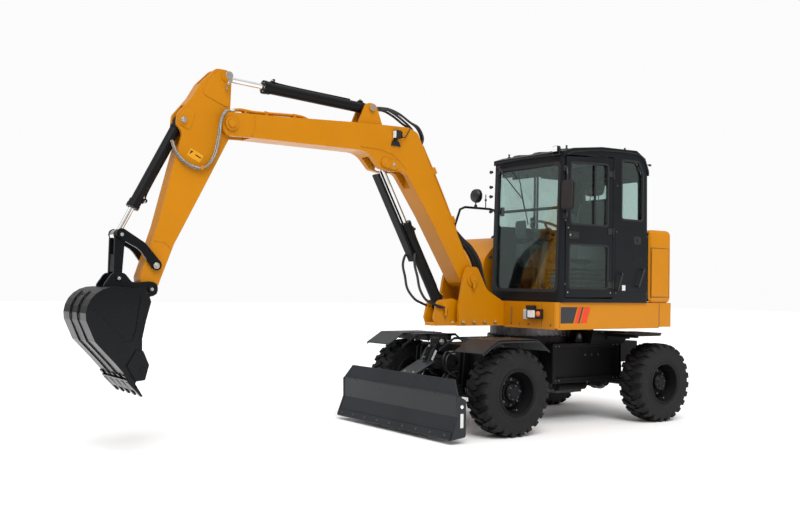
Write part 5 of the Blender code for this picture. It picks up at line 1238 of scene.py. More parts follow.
def cab_outside():
    """Roof lamp, bolts, rain channel, wiper, handles, hinges, vents and aerial."""
    low, high = span("cab_frame")
    left, right, front, rear = high.y, low.y, high.x, low.x
    body = "upper"
    roof = Shape()
    for x, z in ((0.30, 2.775), (-0.55, 2.833)):
        for y in (left - 0.10, right + 0.10):
            roof.rod((x, y, z - 0.004), (x, y, z + 0.010), 0.018, 0.012, sides=20)
            roof.rod((x, y, z + 0.008), (x, y, z + 0.026), 0.007, sides=14)
            roof.rod((x, y, z + 0.020), (x, y, z + 0.036), 0.010, sides=6)
    piece("roof_eye_bolts", body, TRIM_BLACK, roof)
    skin = Shape()
    ridge = [(0.345, 2.7606), (0.30, 2.775), (-0.10, 2.822), (-0.58, 2.834), (-0.62, 2.835)]
    for y in (right + 0.22, (left + right) / 2, left - 0.22):
        rows = []
        for index, (x, z) in enumerate(ridge):
            swell = 0.012 if 0 < index < len(ridge) - 1 else 0.0015
            rows.append([Vector((x, y - 0.050, z - 0.006)), Vector((x, y + 0.050, z - 0.006)),
                         Vector((x, y + 0.036, z + swell)), Vector((x, y - 0.036, z + swell))])
        skin.loft(rows)
    piece("roof_ribs", body, CAB_GREY, skin, edge=0.004)
    gutter = Shape()
    line = [(0.405, 2.700), (0.30, 2.735), (-0.10, 2.786), (-0.60, 2.798), (-0.74, 2.73), (-0.80, 2.61)]
    for side_y in (left, right):
        out = 1 if side_y == left else -1
        gutter.pipe([(x, side_y + out * 0.004, z) for x, z in line], 0.009, sides=8, steps=6)
    gutter.pipe([(front - 0.026, right + 0.04, 2.705), (front - 0.024, 0.43, 2.712),
                 (front - 0.026, left - 0.04, 2.705)], 0.010, sides=8)
    piece("rain_channel", body, CAB_GREY, gutter)
    lamp = Shape()
    place = Vector((0.452, left - 0.090, 2.756))
    lamp.block(place - Vector((0.022, 0.034, 0.030)), place + Vector((0.018, 0.034, 0.030)))
    lamp.block(place - Vector((0.012, 0.046, 0.058)), place + Vector((0.002, -0.038, 0.012)))
    lamp.block(place + Vector((-0.012, 0.038, -0.058)), place + Vector((0.002, 0.046, 0.012)))
    lamp.block(place - Vector((0.016, 0.046, 0.062)), place + Vector((0.016, 0.046, -0.052)))
    for index in range(5):
        y = -0.026 + index * 0.013
        lamp.block(place + Vector((-0.034, y - 0.003, -0.026)),
                   place + Vector((-0.020, y + 0.003, 0.026)))
    piece("cab_work_lamp", body, TRIM_BLACK, lamp, edge=0.003)
    glass = Shape()
    glass.block(place + Vector((0.018, -0.029, -0.025)), place + Vector((0.023, 0.029, 0.025)))
    piece("cab_work_lamp_lens", body, CLEAR_LENS, glass, edge=0.002)
    cable = Shape()
    cable.pipe([place + Vector((-0.02, 0.0, -0.02)), place + Vector((-0.06, 0.01, -0.03)),
                place + Vector((-0.075, 0.02, -0.055)), place + Vector((-0.06, 0.035, -0.085))], 0.0045)
    piece("cab_work_lamp_cable", body, HOSE, cable)
    wiper = Shape()
    hub = Vector((front - 0.006, right + 0.14, 2.655))
    wiper.rod(hub, hub + Vector((0.030, 0, 0)), 0.016, sides=20)
    tip = hub + Vector((0.012, 0.36, -0.36))
    wiper.pipe([hub + Vector((0.026, 0, 0)), hub.lerp(tip, 0.5) + Vector((0.022, 0, 0)), tip], 0.006)
    blade_line = Vector((0, 0.25, -0.86)).normalized()
    middle = tip + Vector((-0.006, 0, 0))
    wiper.pipe([middle - blade_line * 0.27, middle + Vector((0.004, 0, 0)), middle + blade_line * 0.27],
               0.005)
    wiper.pipe([middle - blade_line * 0.12 + Vector((0.006, 0, 0)), middle + Vector((0.010, 0, 0)),
                middle + blade_line * 0.12 + Vector((0.006, 0, 0))], 0.006)
    piece("windscreen_wiper", body, TRIM_BLACK, wiper)
    knobs = Shape()
    # stops and hose clips up the right front pillar, and the screen's cross bar
    for z in (1.72, 2.20, 2.36, 2.46, 2.62):
        knobs.rod((front - 0.02, right - 0.002, z), (front - 0.02, right - 0.026, z), 0.013, sides=16)
        knobs.rod((front - 0.02, right - 0.024, z), (front - 0.02, right - 0.034, z), 0.018, sides=16)
    knobs.block((front - 0.078, right + 0.06, 2.175), (front - 0.068, left - 0.06, 2.205))
    for y in (right + 0.10, left - 0.10):
        knobs.block((front - 0.090, y - 0.018, 2.150), (front - 0.060, y + 0.018, 2.240))
    piece("screen_clips", body, TRIM_BLACK, knobs, edge=0.002)
    dots = Shape()
    for z in (1.44, 2.06, 2.40, 2.58):
        dots.rod((front - 0.055, left - 0.001, z), (front - 0.055, left + 0.004, z), 0.009, sides=18)
    for x, z in ((-0.79, 1.36), (-0.79, 1.95), (-0.32, 1.36), (-0.32, 1.98), (-0.33, 2.45)):
        dots.rod((x, left - 0.001, z), (x, left + 0.004, z), 0.008, sides=18)
    piece("pillar_screws", body, STEEL_GREY, dots)
    panel = Shape()
    outline = rounded([(-0.800, 1.345), (-0.305, 1.345), (-0.305, 2.000), (-0.800, 2.000)], 0.03)
    panel.slab(outline, "xz", left - 0.001, left + 0.0035)
    panel.slab(rounded([(-0.71, 1.706), (-0.57, 1.706), (-0.57, 1.732), (-0.71, 1.732)], 0.012), "xz",
               left, left + 0.008)
    piece("cab_side_panel", body, CAB_GREY, panel, edge=0.002)
    latch = Shape()
    plate = [(-0.695, 1.865), (-0.585, 1.865), (-0.585, 1.945), (-0.695, 1.945)]
    grip = [(-0.680, 1.885), (-0.630, 1.885), (-0.630, 1.925), (-0.680, 1.925)]
    latch.slab(rounded(plate, 0.025), "xz", left, left + 0.006)
    latch.slab(rounded(grip, 0.015), "xz", left + 0.004, left + 0.014)
    piece("cab_side_latch", body, TRIM_BLACK, latch, edge=0.002)
    sticker = Shape()
    sticker.slab([(-0.460, 1.385), (-0.410, 1.385), (-0.410, 1.440), (-0.460, 1.440)], "xz",
                 left + 0.002, left + 0.0045)
    piece("cab_side_sticker", body, LABEL_WHITE, sticker)
    handle = Shape()
    for start, end in (((-0.312, 1.395), (-0.375, 1.560)), ((-0.625, 1.430), (-0.705, 1.605))):
        a, b = Vector((start[0], left + 0.003, start[1])), Vector((end[0], left + 0.003, end[1]))
        out = Vector((0, 0.040, 0))
        handle.pipe([a, a + out * 0.8, a + out + (b - a) * 0.08, a.lerp(b, 0.5) + out,
                     b + out - (b - a) * 0.08, b + out * 0.8, b], 0.009, sides=14)
    piece("cab_grab_handles", body, TRIM_BLACK, handle)
    hinges = Shape()
    for z in (1.44, 1.98, 2.56):
        hinges.rod((-0.272, left + 0.006, z - 0.045), (-0.272, left + 0.006, z + 0.045), 0.008, sides=16)
    piece("door_hinge_pins", body, TRIM_BLACK, hinges)
    door = Shape()
    for z in (1.44, 1.98, 2.56):
        door.block((-0.262, left - 0.001, z - 0.030), (-0.195, left + 0.006, z + 0.030))
    front_x = span("cab_door")[1].x
    door.slab(rounded([(front_x - 0.175, 1.885), (front_x - 0.035, 1.885), (front_x - 0.035, 1.955),
                       (front_x - 0.175, 1.955)], 0.015), "xz", left - 0.001, left + 0.006)
    door.slab(rounded([(front_x - 0.16, 1.905), (front_x - 0.075, 1.905), (front_x - 0.075, 1.935),
                       (front_x - 0.16, 1.935)], 0.010), "xz", left + 0.004, left + 0.018)
    piece("door_handle_and_hinges", "cab_door", TRIM_BLACK, door, edge=0.002)
    lock = Shape()
    lock.rod((front_x - 0.052, left + 0.005, 1.920), (front_x - 0.052, left + 0.011, 1.920), 0.010)
    for x, z in ((-0.24, 1.36), (front_x - 0.03, 1.36), (front_x - 0.03, 1.99), (-0.24, 1.99)):
        lock.rod((x, left - 0.001, z), (x, left + 0.003, z), 0.007, sides=16)
    piece("door_lock_and_screws", "cab_door", ZINC, lock)
    aerial = Shape()
    foot = Vector((rear + 0.006, right + 0.12, 2.60))
    aerial.rod(foot, foot + Vector((-0.018, 0, 0.006)), 0.014, sides=18)
    y = left - 0.090
    for start, end, radius in ((0.075, -0.110, 0.0045), (-0.018, -0.040, 0.012),
                               (-0.092, -0.116, 0.012)):
        aerial.rod((rear + start, y, 2.722), (rear + end, y, 2.722), radius, sides=16)
    piece("rear_aerials", body, TRIM_BLACK, aerial)
    mirror = Shape()
    outline = rounded([(0.950, 2.158), (1.122, 2.150), (1.130, 2.432), (0.962, 2.446)], 0.035)
    mirror.slab(outline, "yz", 0.452, 0.468)
    shrunk = [(y * 0.86 + 1.038 * 0.14, z * 0.90 + 2.30 * 0.10) for y, z in outline]
    mirror.slab(shrunk, "yz", 0.466, 0.482)
    piece("left_mirror_shell", body, TRIM_BLACK, mirror, edge=0.006, smooth=25)
    face = Shape()
    face.slab(rounded([(0.980, 2.187), (1.096, 2.187), (1.096, 2.413), (0.980, 2.413)], 0.02), "yz",
              0.4205, 0.4247)
    piece("left_mirror_glass", body, MIRROR, face)
    clips = Shape()
    for z in (2.10, 2.56):
        clips.block((0.400, left, z - 0.022), (0.440, left + 0.014, z + 0.022))
    piece("left_mirror_brackets", body, TRIM_BLACK, clips, edge=0.003)


def seat():
    """Suspension seat: puffed cushion and backrest with side bolsters, headrest and belt."""
    low, high = span("seat_cushion")
    back_low, back_high = span("seat_backrest")
    cushion = padded_block("seat_cushion_pad", (low + high) / 2, (high - low) * 0.985, 0.0, 0.010,
                           SEAT_CLOTH)
    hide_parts("seat_cushion")
    tilt = math.atan2(0.11, 0.56)
    middle = Vector(((-0.50 - 0.36 - 0.47 - 0.60) / 4, (back_low.y + back_high.y) / 2,
                     (back_low.z + back_high.z) / 2))
    size = Vector((0.125, back_high.y - back_low.y - 0.006, (back_high.z - back_low.z) * 0.985))
    backrest = padded_block("seat_backrest_pad", middle, size, tilt, 0.008, SEAT_CLOTH)
    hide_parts("seat_backrest")
    padded_block("seat_headrest_pad", Vector((-0.565, 0.43, 2.475)), Vector((0.085, 0.25, 0.16)),
                 tilt, 0.010, SEAT_VINYL)
    posts = Shape()
    for y in (0.37, 0.49):
        posts.rod((-0.545, y, 2.33), (-0.562, y, 2.42), 0.006, sides=12)
    piece("headrest_posts", "upper", CHROME, posts)
    shell = Shape()
    shell.slab([(-0.512, 1.79), (-0.502, 1.79), (-0.612, 2.365), (-0.622, 2.360)], "xz", 0.245, 0.615)
    side_cover = rounded([(-0.50, 1.672), (-0.03, 1.672), (-0.03, 1.715), (-0.50, 1.715)], 0.015)
    for inner_y, outer_y in ((0.222, 0.2285), (0.6315, 0.638)):
        shell.slab(side_cover, "xz", inner_y, outer_y)
    piece("seat_shell", "upper", TRIM_BLACK, shell, edge=0.003)
    belt = Shape()
    for side in (1, -1):
        y = 0.43 + side * 0.222
        belt.slab([(-0.46, 1.70), (-0.42, 1.70), (-0.34, 1.845), (-0.385, 1.86)], "xz",
                  *sorted((y, y + side * 0.004)))
    belt.block((-0.378, 0.205, 1.84), (-0.33, 0.228, 1.90))
    piece("seat_belt", "upper", SEAT_VINYL, belt, edge=0.001)
    bellows = Shape()
    for index in range(5):
        z = 1.40 + index * 0.045
        bellows.slab(rounded([(-0.512, 0.208), (-0.068, 0.208), (-0.068, 0.652), (-0.512, 0.652)], 0.03),
                     "xy", z, z + 0.026)
    piece("seat_bellows", "upper", SEAL_RUBBER, bellows, edge=0.008, smooth=25)


def padded_block(name, middle, size, tilt, crown, finish):
    """A stuffed pad: a block remeshed, swollen by cloth pressure, then subdivided."""
    shape = Shape()
    mesh = shape.mesh
    bmesh.ops.create_cube(mesh, size=1.0)
    bmesh.ops.subdivide_edges(mesh, edges=mesh.edges, cuts=11, use_grid_fill=True)
    long_way = Matrix.Rotation(-tilt, 4, "Y")
    for vert in mesh.verts:
        u, v, w = (c * 2 for c in vert.co)
        pinch = 1 - 0.10 * (abs(u) ** 4 * abs(v) ** 4) - 0.08 * abs(u * w) ** 4 - 0.08 * abs(v * w) ** 4
        reach = pinch * 0.93 / 2     # room is left for the swelling
        vert.co = long_way @ Vector((size.x * u * reach, size.y * v * reach, size.z * w * reach))
    rest = bpy.data.meshes.new(name)
    bmesh.ops.recalc_face_normals(mesh, faces=mesh.faces)
    mesh.to_mesh(rest)
    mesh.free()
    rest.transform(Matrix.Translation(middle + SLEW_AXIS))
    item = bpy.data.objects.new(name, rest)
    bpy.context.scene.collection.objects.link(item)
    swell(item, crown)
    smooth = item.modifiers.new("subdivision", "SUBSURF")
    smooth.levels = smooth.render_levels = 1
    item.data.materials.clear()
    item.data.materials.append(finish)
    item.data.shade_smooth()
    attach(item, "upper")
    return item


def swell(item, reach):
    """Cloth pressure run for twenty frames; no point may move further than reach."""
    remesh = item.modifiers.new("remesh", "REMESH")
    remesh.mode = "VOXEL"
    remesh.voxel_size = 0.011
    bake(item)
    start = [vert.co.copy() for vert in item.data.vertices]
    cloth = item.modifiers.new("cloth", "CLOTH")
    cloth.settings.use_pressure = True
    cloth.settings.uniform_pressure_force = 4.0
    cloth.settings.effector_weights.gravity = 0.0
    scene = bpy.context.scene
    for step in range(1, 21):
        scene.frame_set(step)
    bake(item)
    scene.frame_set(1)
    for vert, before in zip(item.data.vertices, start):
        move = vert.co - before
        if move.length > reach:
            vert.co = before + move.normalized() * reach


def bake(item):
    """The object's mesh with its modifiers applied."""
    graph = bpy.context.evaluated_depsgraph_get()
    graph.update()
    mesh = bpy.data.meshes.new_from_object(item.evaluated_get(graph))
    item.modifiers.clear()
    item.data = mesh


def cab_inside():
    """Levers, consoles, pedals, dash, liner, window frames and wheel trim in the cab."""
    right, left = (corner.y for corner in span("cab_frame"))
    body = "upper"
    levers = Shape()
    for y, lean in ((0.14, -0.01), (0.72, 0.01)):
        levers.pipe([(0.02, y, 1.86), (0.035, y + lean * 0.4, 1.95), (0.045, y + lean, 2.02)], 0.008,
                    sides=12)
        levers.pipe([(0.045, y + lean, 2.00), (0.052, y + lean, 2.06), (0.070, y + lean, 2.125)], 0.021,
                    sides=16)
        levers.rod((0.068, y + lean, 2.118), (0.076, y + lean, 2.145), 0.024, 0.016, sides=20)
    levers.rod((0.10, 0.66, 1.68), (0.12, 0.66, 1.90), 0.010, sides=12)
    levers.rod((0.12, 0.66, 1.89), (0.124, 0.66, 1.945), 0.018, sides=16)
    piece("control_levers", body, TRIM_BLACK, levers)
    boots = Shape()
    for y in (0.14, 0.72):
        for index in range(5):
            z = 1.860 + index * 0.016
            boots.turned([(0.009, 0), (0.050 - index * 0.008, 0), (0.044 - index * 0.008, 0.012),
                          (0.009, 0.012)], (0.022 + index * 0.002, y, z), (0, 0, 1), 24)
    piece("lever_boots", body, SEAL_RUBBER, boots)
    rests = Shape()
    for y in (0.14, 0.72):
        rests.block((-0.44, y - 0.045, 1.905), (-0.12, y + 0.045, 1.945))
        rests.block((-0.40, y - 0.020, 1.86), (-0.34, y + 0.020, 1.91))
    piece("arm_rests", body, SEAT_VINYL, rests, edge=0.012)
    dash = Shape()
    dash.slab([(-0.36, 1.62), (0.08, 1.62), (0.16, 1.72), (0.15, 1.86), (-0.10, 1.90), (-0.36, 1.90)],
              "xz", right + 0.055, right + 0.145)
    dash.slab([(0.12, 1.92), (0.17, 1.96), (0.17, 2.10), (0.135, 2.12)], "xz",
              right + 0.06, right + 0.20)
    dash.block((-0.75, right + 0.06, 1.34), (-0.56, left - 0.06, 1.98))
    piece("side_console", body, CONSOLE_GREY, dash, edge=0.012)
    screen = Shape()
    screen.slab([(0.114, 1.945), (0.119, 1.943), (0.133, 2.100), (0.128, 2.102)], "xz",
                right + 0.072, right + 0.188)
    piece("monitor_screen", body, BUCKET_BLACK, screen)
    knobs = Shape()
    for index in range(6):
        x = -0.30 + 0.07 * index
        knobs.rod((x, right + 0.10, 1.899), (x, right + 0.10, 1.914), 0.013, sides=18)
    piece("console_knobs", body, TRIM_BLACK, knobs)
    pedals = Shape()
    for y in (0.24, 0.36, 0.50, 0.62):
        pedals.block_at(Vector((0.345, y, 1.385)), Vector((0.5, 0, 0.86)), Vector((0, 1, 0)),
                        Vector((-0.86, 0, 0.5)), (0.060, 0.036, 0.006))
        for index in range(4):
            pedals.block_at(Vector((0.318 + 0.015 * index, y, 1.352 + 0.026 * index)),
                            Vector((0.5, 0, 0.86)), Vector((0, 1, 0)), Vector((-0.86, 0, 0.5)),
                            (0.004, 0.033, 0.009))
        pedals.rod((0.36, y, 1.302), (0.352, y, 1.36), 0.010, sides=12)
    for y in (0.40, 0.46):
        pedals.rod((0.30, y, 1.302), (0.285, y, 1.70), 0.009, sides=12)
        pedals.rod((0.285, y, 1.69), (0.282, y, 1.79), 0.014, sides=14)
    piece("pedals", body, TRIM_BLACK, pedals, edge=0.002)
    mat = Shape()
    mat.block((-0.52, right + 0.055, 1.3005), (0.40, left - 0.055, 1.306))
    for index in range(14):
        mat.block((-0.02 + index * 0.026, 0.05, 1.3055), (-0.010 + index * 0.026, 0.84, 1.309))
    piece("floor_mat", body, SEAL_RUBBER, mat)
    liner = Shape()
    liner.slab([(0.385, 2.655), (0.30, 2.685), (-0.10, 2.735), (-0.60, 2.745), (-0.60, 2.735),
                (-0.10, 2.720), (0.30, 2.670), (0.385, 2.640)], "xz", right + 0.055, left - 0.055)
    liner.block((-0.60, right + 0.055, 2.60), (-0.20, right + 0.12, 2.735))
    liner.block((0.30, right + 0.06, 2.56), (0.36, right + 0.22, 2.66))
    piece("roof_liner", body, LINER_GREY, liner, edge=0.004)
    visor = Shape()
    visor.block_at(Vector((0.365, 0.43, 2.575)), Vector((0.17, 0, 0.98)), Vector((0, 1, 0)),
                   Vector((-0.98, 0, 0.17)), (0.055, 0.30, 0.003))
    piece("sun_visor", body, TRIM_BLACK, visor, edge=0.002)
    slider = Shape()
    for x in (-0.20, -0.16):
        slider.block((x, right + 0.012, 2.03), (x + 0.016, right + 0.032, 2.66))
    slider.block((-0.68, right + 0.010, 2.03), (0.36, right + 0.034, 2.046))
    piece("right_window_slider", body, TRIM_BLACK, slider, edge=0.002)
    gauge = Shape()
    gauge.turned([(0.0001, 0), (0.034, 0), (0.034, 0.010), (0.0001, 0.014)], (0.125, 0.43, 2.004),
                 (-0.42, 0, 0.91), 32)
    gauge.slab([(0.155, 1.88), (0.215, 1.90), (0.225, 1.99), (0.19, 2.01)], "xz", 0.36, 0.50)
    for side in (1, -1):
        gauge.pipe([(0.15, 0.43 + side * 0.02, 1.95), (0.15, 0.43 + side * 0.09, 1.965),
                    (0.155, 0.43 + side * 0.15, 1.975)], 0.006)
    piece("steering_wheel_trim", body, TRIM_BLACK, gauge, edge=0.002)


# ------------------------------------------------------------------ digging gear
def boom_bracket_fittings():
    """Pins, lock plates, welds, hose bulkhead and bolts on the boom's bracket."""
    body = "upper"
    pins = Shape()
    for centre, radius, reach in ((BOOM_FOOT, 0.040, 0.201), (BOOM_CYL_FOOT, 0.026, 0.105)):
        for side in (1, -1):
            at = Vector((centre[0], side * reach, centre[1]))
            pins.rod(at, at + Vector((0, side * 0.006, 0)), radius * 1.15, sides=28)
            lock = [(centre[0] - 0.012, centre[1] + 0.012), (centre[0] - 0.012, centre[1] - 0.10),
                    (centre[0] + 0.016, centre[1] - 0.10), (centre[0] + 0.016, centre[1] + 0.012)]
            pins.slab(lock, "xz", *sorted((side * (reach + 0.005), side * (reach + 0.012))))
            pins.bolt((centre[0] + 0.002, side * (reach + 0.010), centre[1] - 0.082), (0, side, 0),
                      0.009)
    piece("boom_bracket_pin_locks", body, YELLOW, pins, edge=0.001)
    grease = Shape()
    for side in (1, -1):
        grease.rod(across(BOOM_FOOT, side * 0.206), across(BOOM_FOOT, side * 0.218), 0.006, sides=12)
        grease.bolts([(x, side * 0.19, 1.044) for x in (0.62, 0.76, 0.90, 1.04, 1.18)], (0, 0, 1), 0.013)
    piece("boom_bracket_bolts", body, ZINC, grease)
    hoses = Shape()
    for index in range(5):
        y = -0.070 + index * 0.035
        hoses.rod((0.50, y, 1.245), (0.545, y, 1.252), 0.014, sides=6)
        hoses.rod((0.53, y, 1.250), (0.560, y, 1.256), 0.011, sides=14)
    hoses.block((0.485, -0.100, 1.20), (0.500, 0.100, 1.285))
    piece("bracket_hose_unions", body, ZINC, hoses)


def bulkhead_hoses():
    """The bundle from the deck over the boom's foot into its back."""
    for index in range(5):
        y = -0.070 + index * 0.035
        hose = Shape()
        crest = 0.012 * (index % 2)
        hose.pipe([(0.55, y, 1.255), (0.62, y, 1.32 + crest), (0.68, y * 0.95, 1.48 + crest),
                   (0.735, y * 0.9, 1.66 + crest), (0.84, y * 0.85, 1.80 + crest),
                   (0.955, y * 0.8, 1.885), (1.045, y * 0.8, 1.96)], 0.0125, sides=12, steps=40)
        item = piece(f"boom_foot_hose_{index}", None, HOSE, hose)
        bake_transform(item)


def along(line, lift, y):
    """A height profile lifted square to itself and set at one side position."""
    points = []
    for index, (x, z) in enumerate(line):
        before = Vector(line[max(index - 1, 0)])
        after = Vector(line[min(index + 1, len(line) - 1)])
        way = (after - before).normalized()
        points.append(Vector((x - way.y * lift, y, z + way.x * lift)))
    return points


def boom_fittings():
    """Pins, pipes and clamps along the boom, its lamp, gussets, weld seams and labels."""
    body = "boom"
    half = 0.115
    pipes = Shape()
    for y, lift in ((0.035, 0.022), (0.065, 0.020)):
        line = along([(2.76, 2.880), (2.86, 2.880), (3.02, 2.876), (3.30, 2.862)], lift, y)
        line[0].z -= 0.025
        pipes.pipe(line + [Vector((3.44, y + 0.01, 2.886)), Vector((3.525, y + 0.025, 2.872))], 0.0125,
                   sides=14, steps=36)
    for y in (0.075, 0.045, -0.045, -0.075):
        pipes.pipe(along([(1.08, 1.94), (1.29, 2.35), (1.52, 2.76)], 0.028, y), 0.011,
                   sides=12, steps=24)
    piece("boom_pipes", body, YELLOW, pipes)
    clamps = Shape()
    for x, z in ((2.92, 2.874), (3.20, 2.862), (3.40, 2.856)):
        clamps.block((x - 0.014, 0.018, z - 0.002), (x + 0.014, 0.084, z + 0.038))
    clamps.slab([(1.13, 2.02), (1.16, 2.08), (1.105, 2.108), (1.075, 2.048)], "xz", -0.095, 0.095)
    clamps.slab([(1.37, 2.49), (1.40, 2.55), (1.350, 2.577), (1.320, 2.517)], "xz", -0.095, 0.095)
    piece("boom_pipe_clamps", body, YELLOW, clamps, edge=0.004)
    nuts = Shape()
    for x, z in ((2.92, 2.912), (3.20, 2.900), (3.40, 2.894)):
        nuts.bolt((x, 0.05, z - 0.001), (0, 0, 1), 0.008)
    piece("boom_clamp_bolts", body, ZINC, nuts)
    welds = Shape()
    for side in (1, -1):
        y = side * (half + 0.0005)
        welds.weld([(2.24, y, 2.690), (2.02, y, 2.682), (1.88, y, 2.650), (1.80, y, 2.600),
                    (1.72, y, 2.520)], 0.0045)
        welds.weld([(3.36, y, 2.662), (3.34, y, 2.70), (3.33, y, 2.78), (3.335, y, 2.848)], 0.004)
    piece("boom_weld_seams", body, YELLOW, welds)
    gusset = Shape()
    for side in (1, -1):
        inner, outer = side * half, side * (half + 0.009)
        # capsule-shaped doubler beside the cylinder eye, lying along the boom
        capsule = []
        for centre, first in (((1.965, 2.560), -84.0), ((1.865, 2.545), 96.0)):
            for step in range(13):
                turn = math.radians(first + 180 * step / 12)
                capsule.append((centre[0] + 0.046 * math.cos(turn), centre[1] + 0.046 * math.sin(turn)))
        gusset.slab(capsule, "xz", *sorted((inner, outer + side * 0.010)))
        gusset.rod(across(BOOM_CYL_EYE, side * 0.128), across(BOOM_CYL_EYE, side * 0.140), 0.040,
                   sides=32)
    piece("cylinder_eye_doublers", body, YELLOW, gusset, edge=0.003)
    locks = Shape()
    for side in (1, -1):
        y = side * 0.145
        locks.rod(across(ARM_CYL_EYE, y), across(ARM_CYL_EYE, y + side * 0.004), 0.034, sides=28)
        hook = [(3.575, 3.165), (3.600, 3.168), (3.592, 3.110), (3.615, 3.075), (3.600, 3.062),
                (3.562, 3.105)]
        locks.slab(hook, "xz", *sorted((side * 0.147, side * 0.155)))
        locks.bolt((3.598, side * 0.154, 3.082), (0, side, 0), 0.009)
        locks.bolt((1.867, side * 0.134, 2.548), (0, side, 0), 0.011)
        ear = side * 0.095
        locks.rod(across(ARM_CYL_FOOT, ear), across(ARM_CYL_FOOT, ear + side * 0.004), 0.030, sides=24)
    piece("boom_pin_locks", body, ZINC, locks, edge=0.001)
    lamp = Shape()
    place = Vector((1.853, half, 2.835))
    lamp.slab([(1.79, 2.73), (1.90, 2.73), (1.89, 2.775), (1.86, 2.79), (1.81, 2.77)], "xz",
              half, half + 0.012)
    lamp.block(place + Vector((-0.012, 0.002, -0.062)), place + Vector((0.012, 0.030, -0.030)))
    lamp.block(place + Vector((-0.030, 0.006, -0.038)), place + Vector((0.026, 0.062, 0.040)))
    for index in range(4):
        x = place.x - 0.048 + 0.008 * index
        lamp.block((x, half + 0.012, place.z - 0.030), (x + 0.003, half + 0.056, place.z + 0.032))
    piece("boom_work_lamp", body, TRIM_BLACK, lamp, edge=0.003)
    lens_ = Shape()
    lens_.block(place + Vector((0.025, 0.011, -0.032)), place + Vector((0.031, 0.057, 0.034)))
    piece("boom_work_lamp_lens", body, CLEAR_LENS, lens_, edge=0.002)
    cable = Shape()
    cable.pipe([place + Vector((-0.045, 0.03, 0.0)), place + Vector((-0.085, 0.022, -0.018)),
                place + Vector((-0.12, 0.012, 0.0)), Vector((1.70, half + 0.008, 2.885)),
                Vector((1.665, half - 0.01, 2.925)), Vector((1.64, half - 0.04, 2.918))], 0.0045,
               steps=30)
    piece("boom_lamp_cable", body, HOSE, cable)
    hoses = Shape()
    # from the pipes on the boom's back, arching over the knee to the arm cylinder's ports
    for y, rise in ((0.045, 0.0), (0.075, -0.015), (-0.045, 0.010), (-0.075, -0.010)):
        hoses.pipe([(1.515, y, 2.762), (1.492, y, 2.85), (1.545, y * 0.95, 2.945),
                    (1.64, y * 0.9, 3.000 + rise), (1.76, y * 0.85, 3.062 + rise),
                    (1.88, y * 0.6, 3.095 + rise), (1.98, y * 0.4, 3.090 + rise),
                    (2.045, y * 0.4, 3.075)], 0.0115, sides=12, steps=44)
    piece("knee_hoses", body, HOSE, hoses)
    ends = Shape()
    for y in (0.045, 0.075, -0.045, -0.075):
        ends.rod((1.505, y, 2.735), (1.512, y, 2.775), 0.015, sides=6)
    for y in (0.060, 0.090):
        ends.rod((3.515, y, 2.869), (3.552, y, 2.858), 0.017, sides=6)
    piece("boom_hose_unions", body, ZINC, ends)


def boom_arm_hoses():
    """Two sleeved hoses hanging from the boom's nose down the arm's side to the bucket cylinder."""
    for index, inset in enumerate((0.0, 0.021)):
        hose = Shape()
        side = 0.128 - inset
        drop = inset * 0.3
        hose.pipe([(3.535, 0.090 - inset, 2.862), (3.600, 0.118 - inset, 2.845 + drop),
                   (3.655, side + 0.02, 2.755 + drop), (3.668 + drop, side + 0.012, 2.607),
                   (3.705 + drop, side - 0.008, 2.440), (3.800, 0.109 - inset, 2.352 - drop),
                   (3.935, 0.107 - inset, 2.380 - drop), (4.020, 0.100 - inset, 2.460 - drop),
                   (4.058, 0.080 - inset, 2.560)], 0.0095, sides=14, steps=90, ripple=0.08)
        item = piece(f"boom_nose_hose_{index}", None, HOSE_SLEEVE, hose)
        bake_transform(item)


def boom_cylinder_hoses():
    """Two black hoses looping below the boom's cylinder to unions at the bracket's nose."""
    for index, side in enumerate((0.105, -0.075)):
        hose = Shape()
        out = 0.012 * index
        hose.pipe([(1.56, side * 0.60, 1.715), (1.585, side * 0.9, 1.690), (1.590 + out, side, 1.60),
                   (1.560 + out, side * 1.05, 1.49), (1.528 + out, side * 1.05, 1.37),
                   (1.455, side, 1.272), (1.363, side, 1.228), (1.285, side, 1.200)],
                  0.0125, sides=12, steps=60)
        item = piece(f"boom_cylinder_hose_{index}", None, HOSE, hose)
        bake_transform(item)
    ends = Shape()
    for side in (0.105, -0.075):
        ends.rod((1.295, side, 1.203), (1.262, side, 1.195), 0.017, sides=6)
        ends.rod((1.268, side, 1.196), (1.235, side, 1.192), 0.013, sides=14)
    for y in (0.105, -0.075):
        ends.pipe([(1.240, y, 1.192), (1.205, y, 1.190), (1.190, y, 1.165), (1.188, y, 1.12)], 0.011,
                  sides=12)
    piece("bracket_nose_unions", "upper", TRIM_BLACK, ends, edge=0.002)


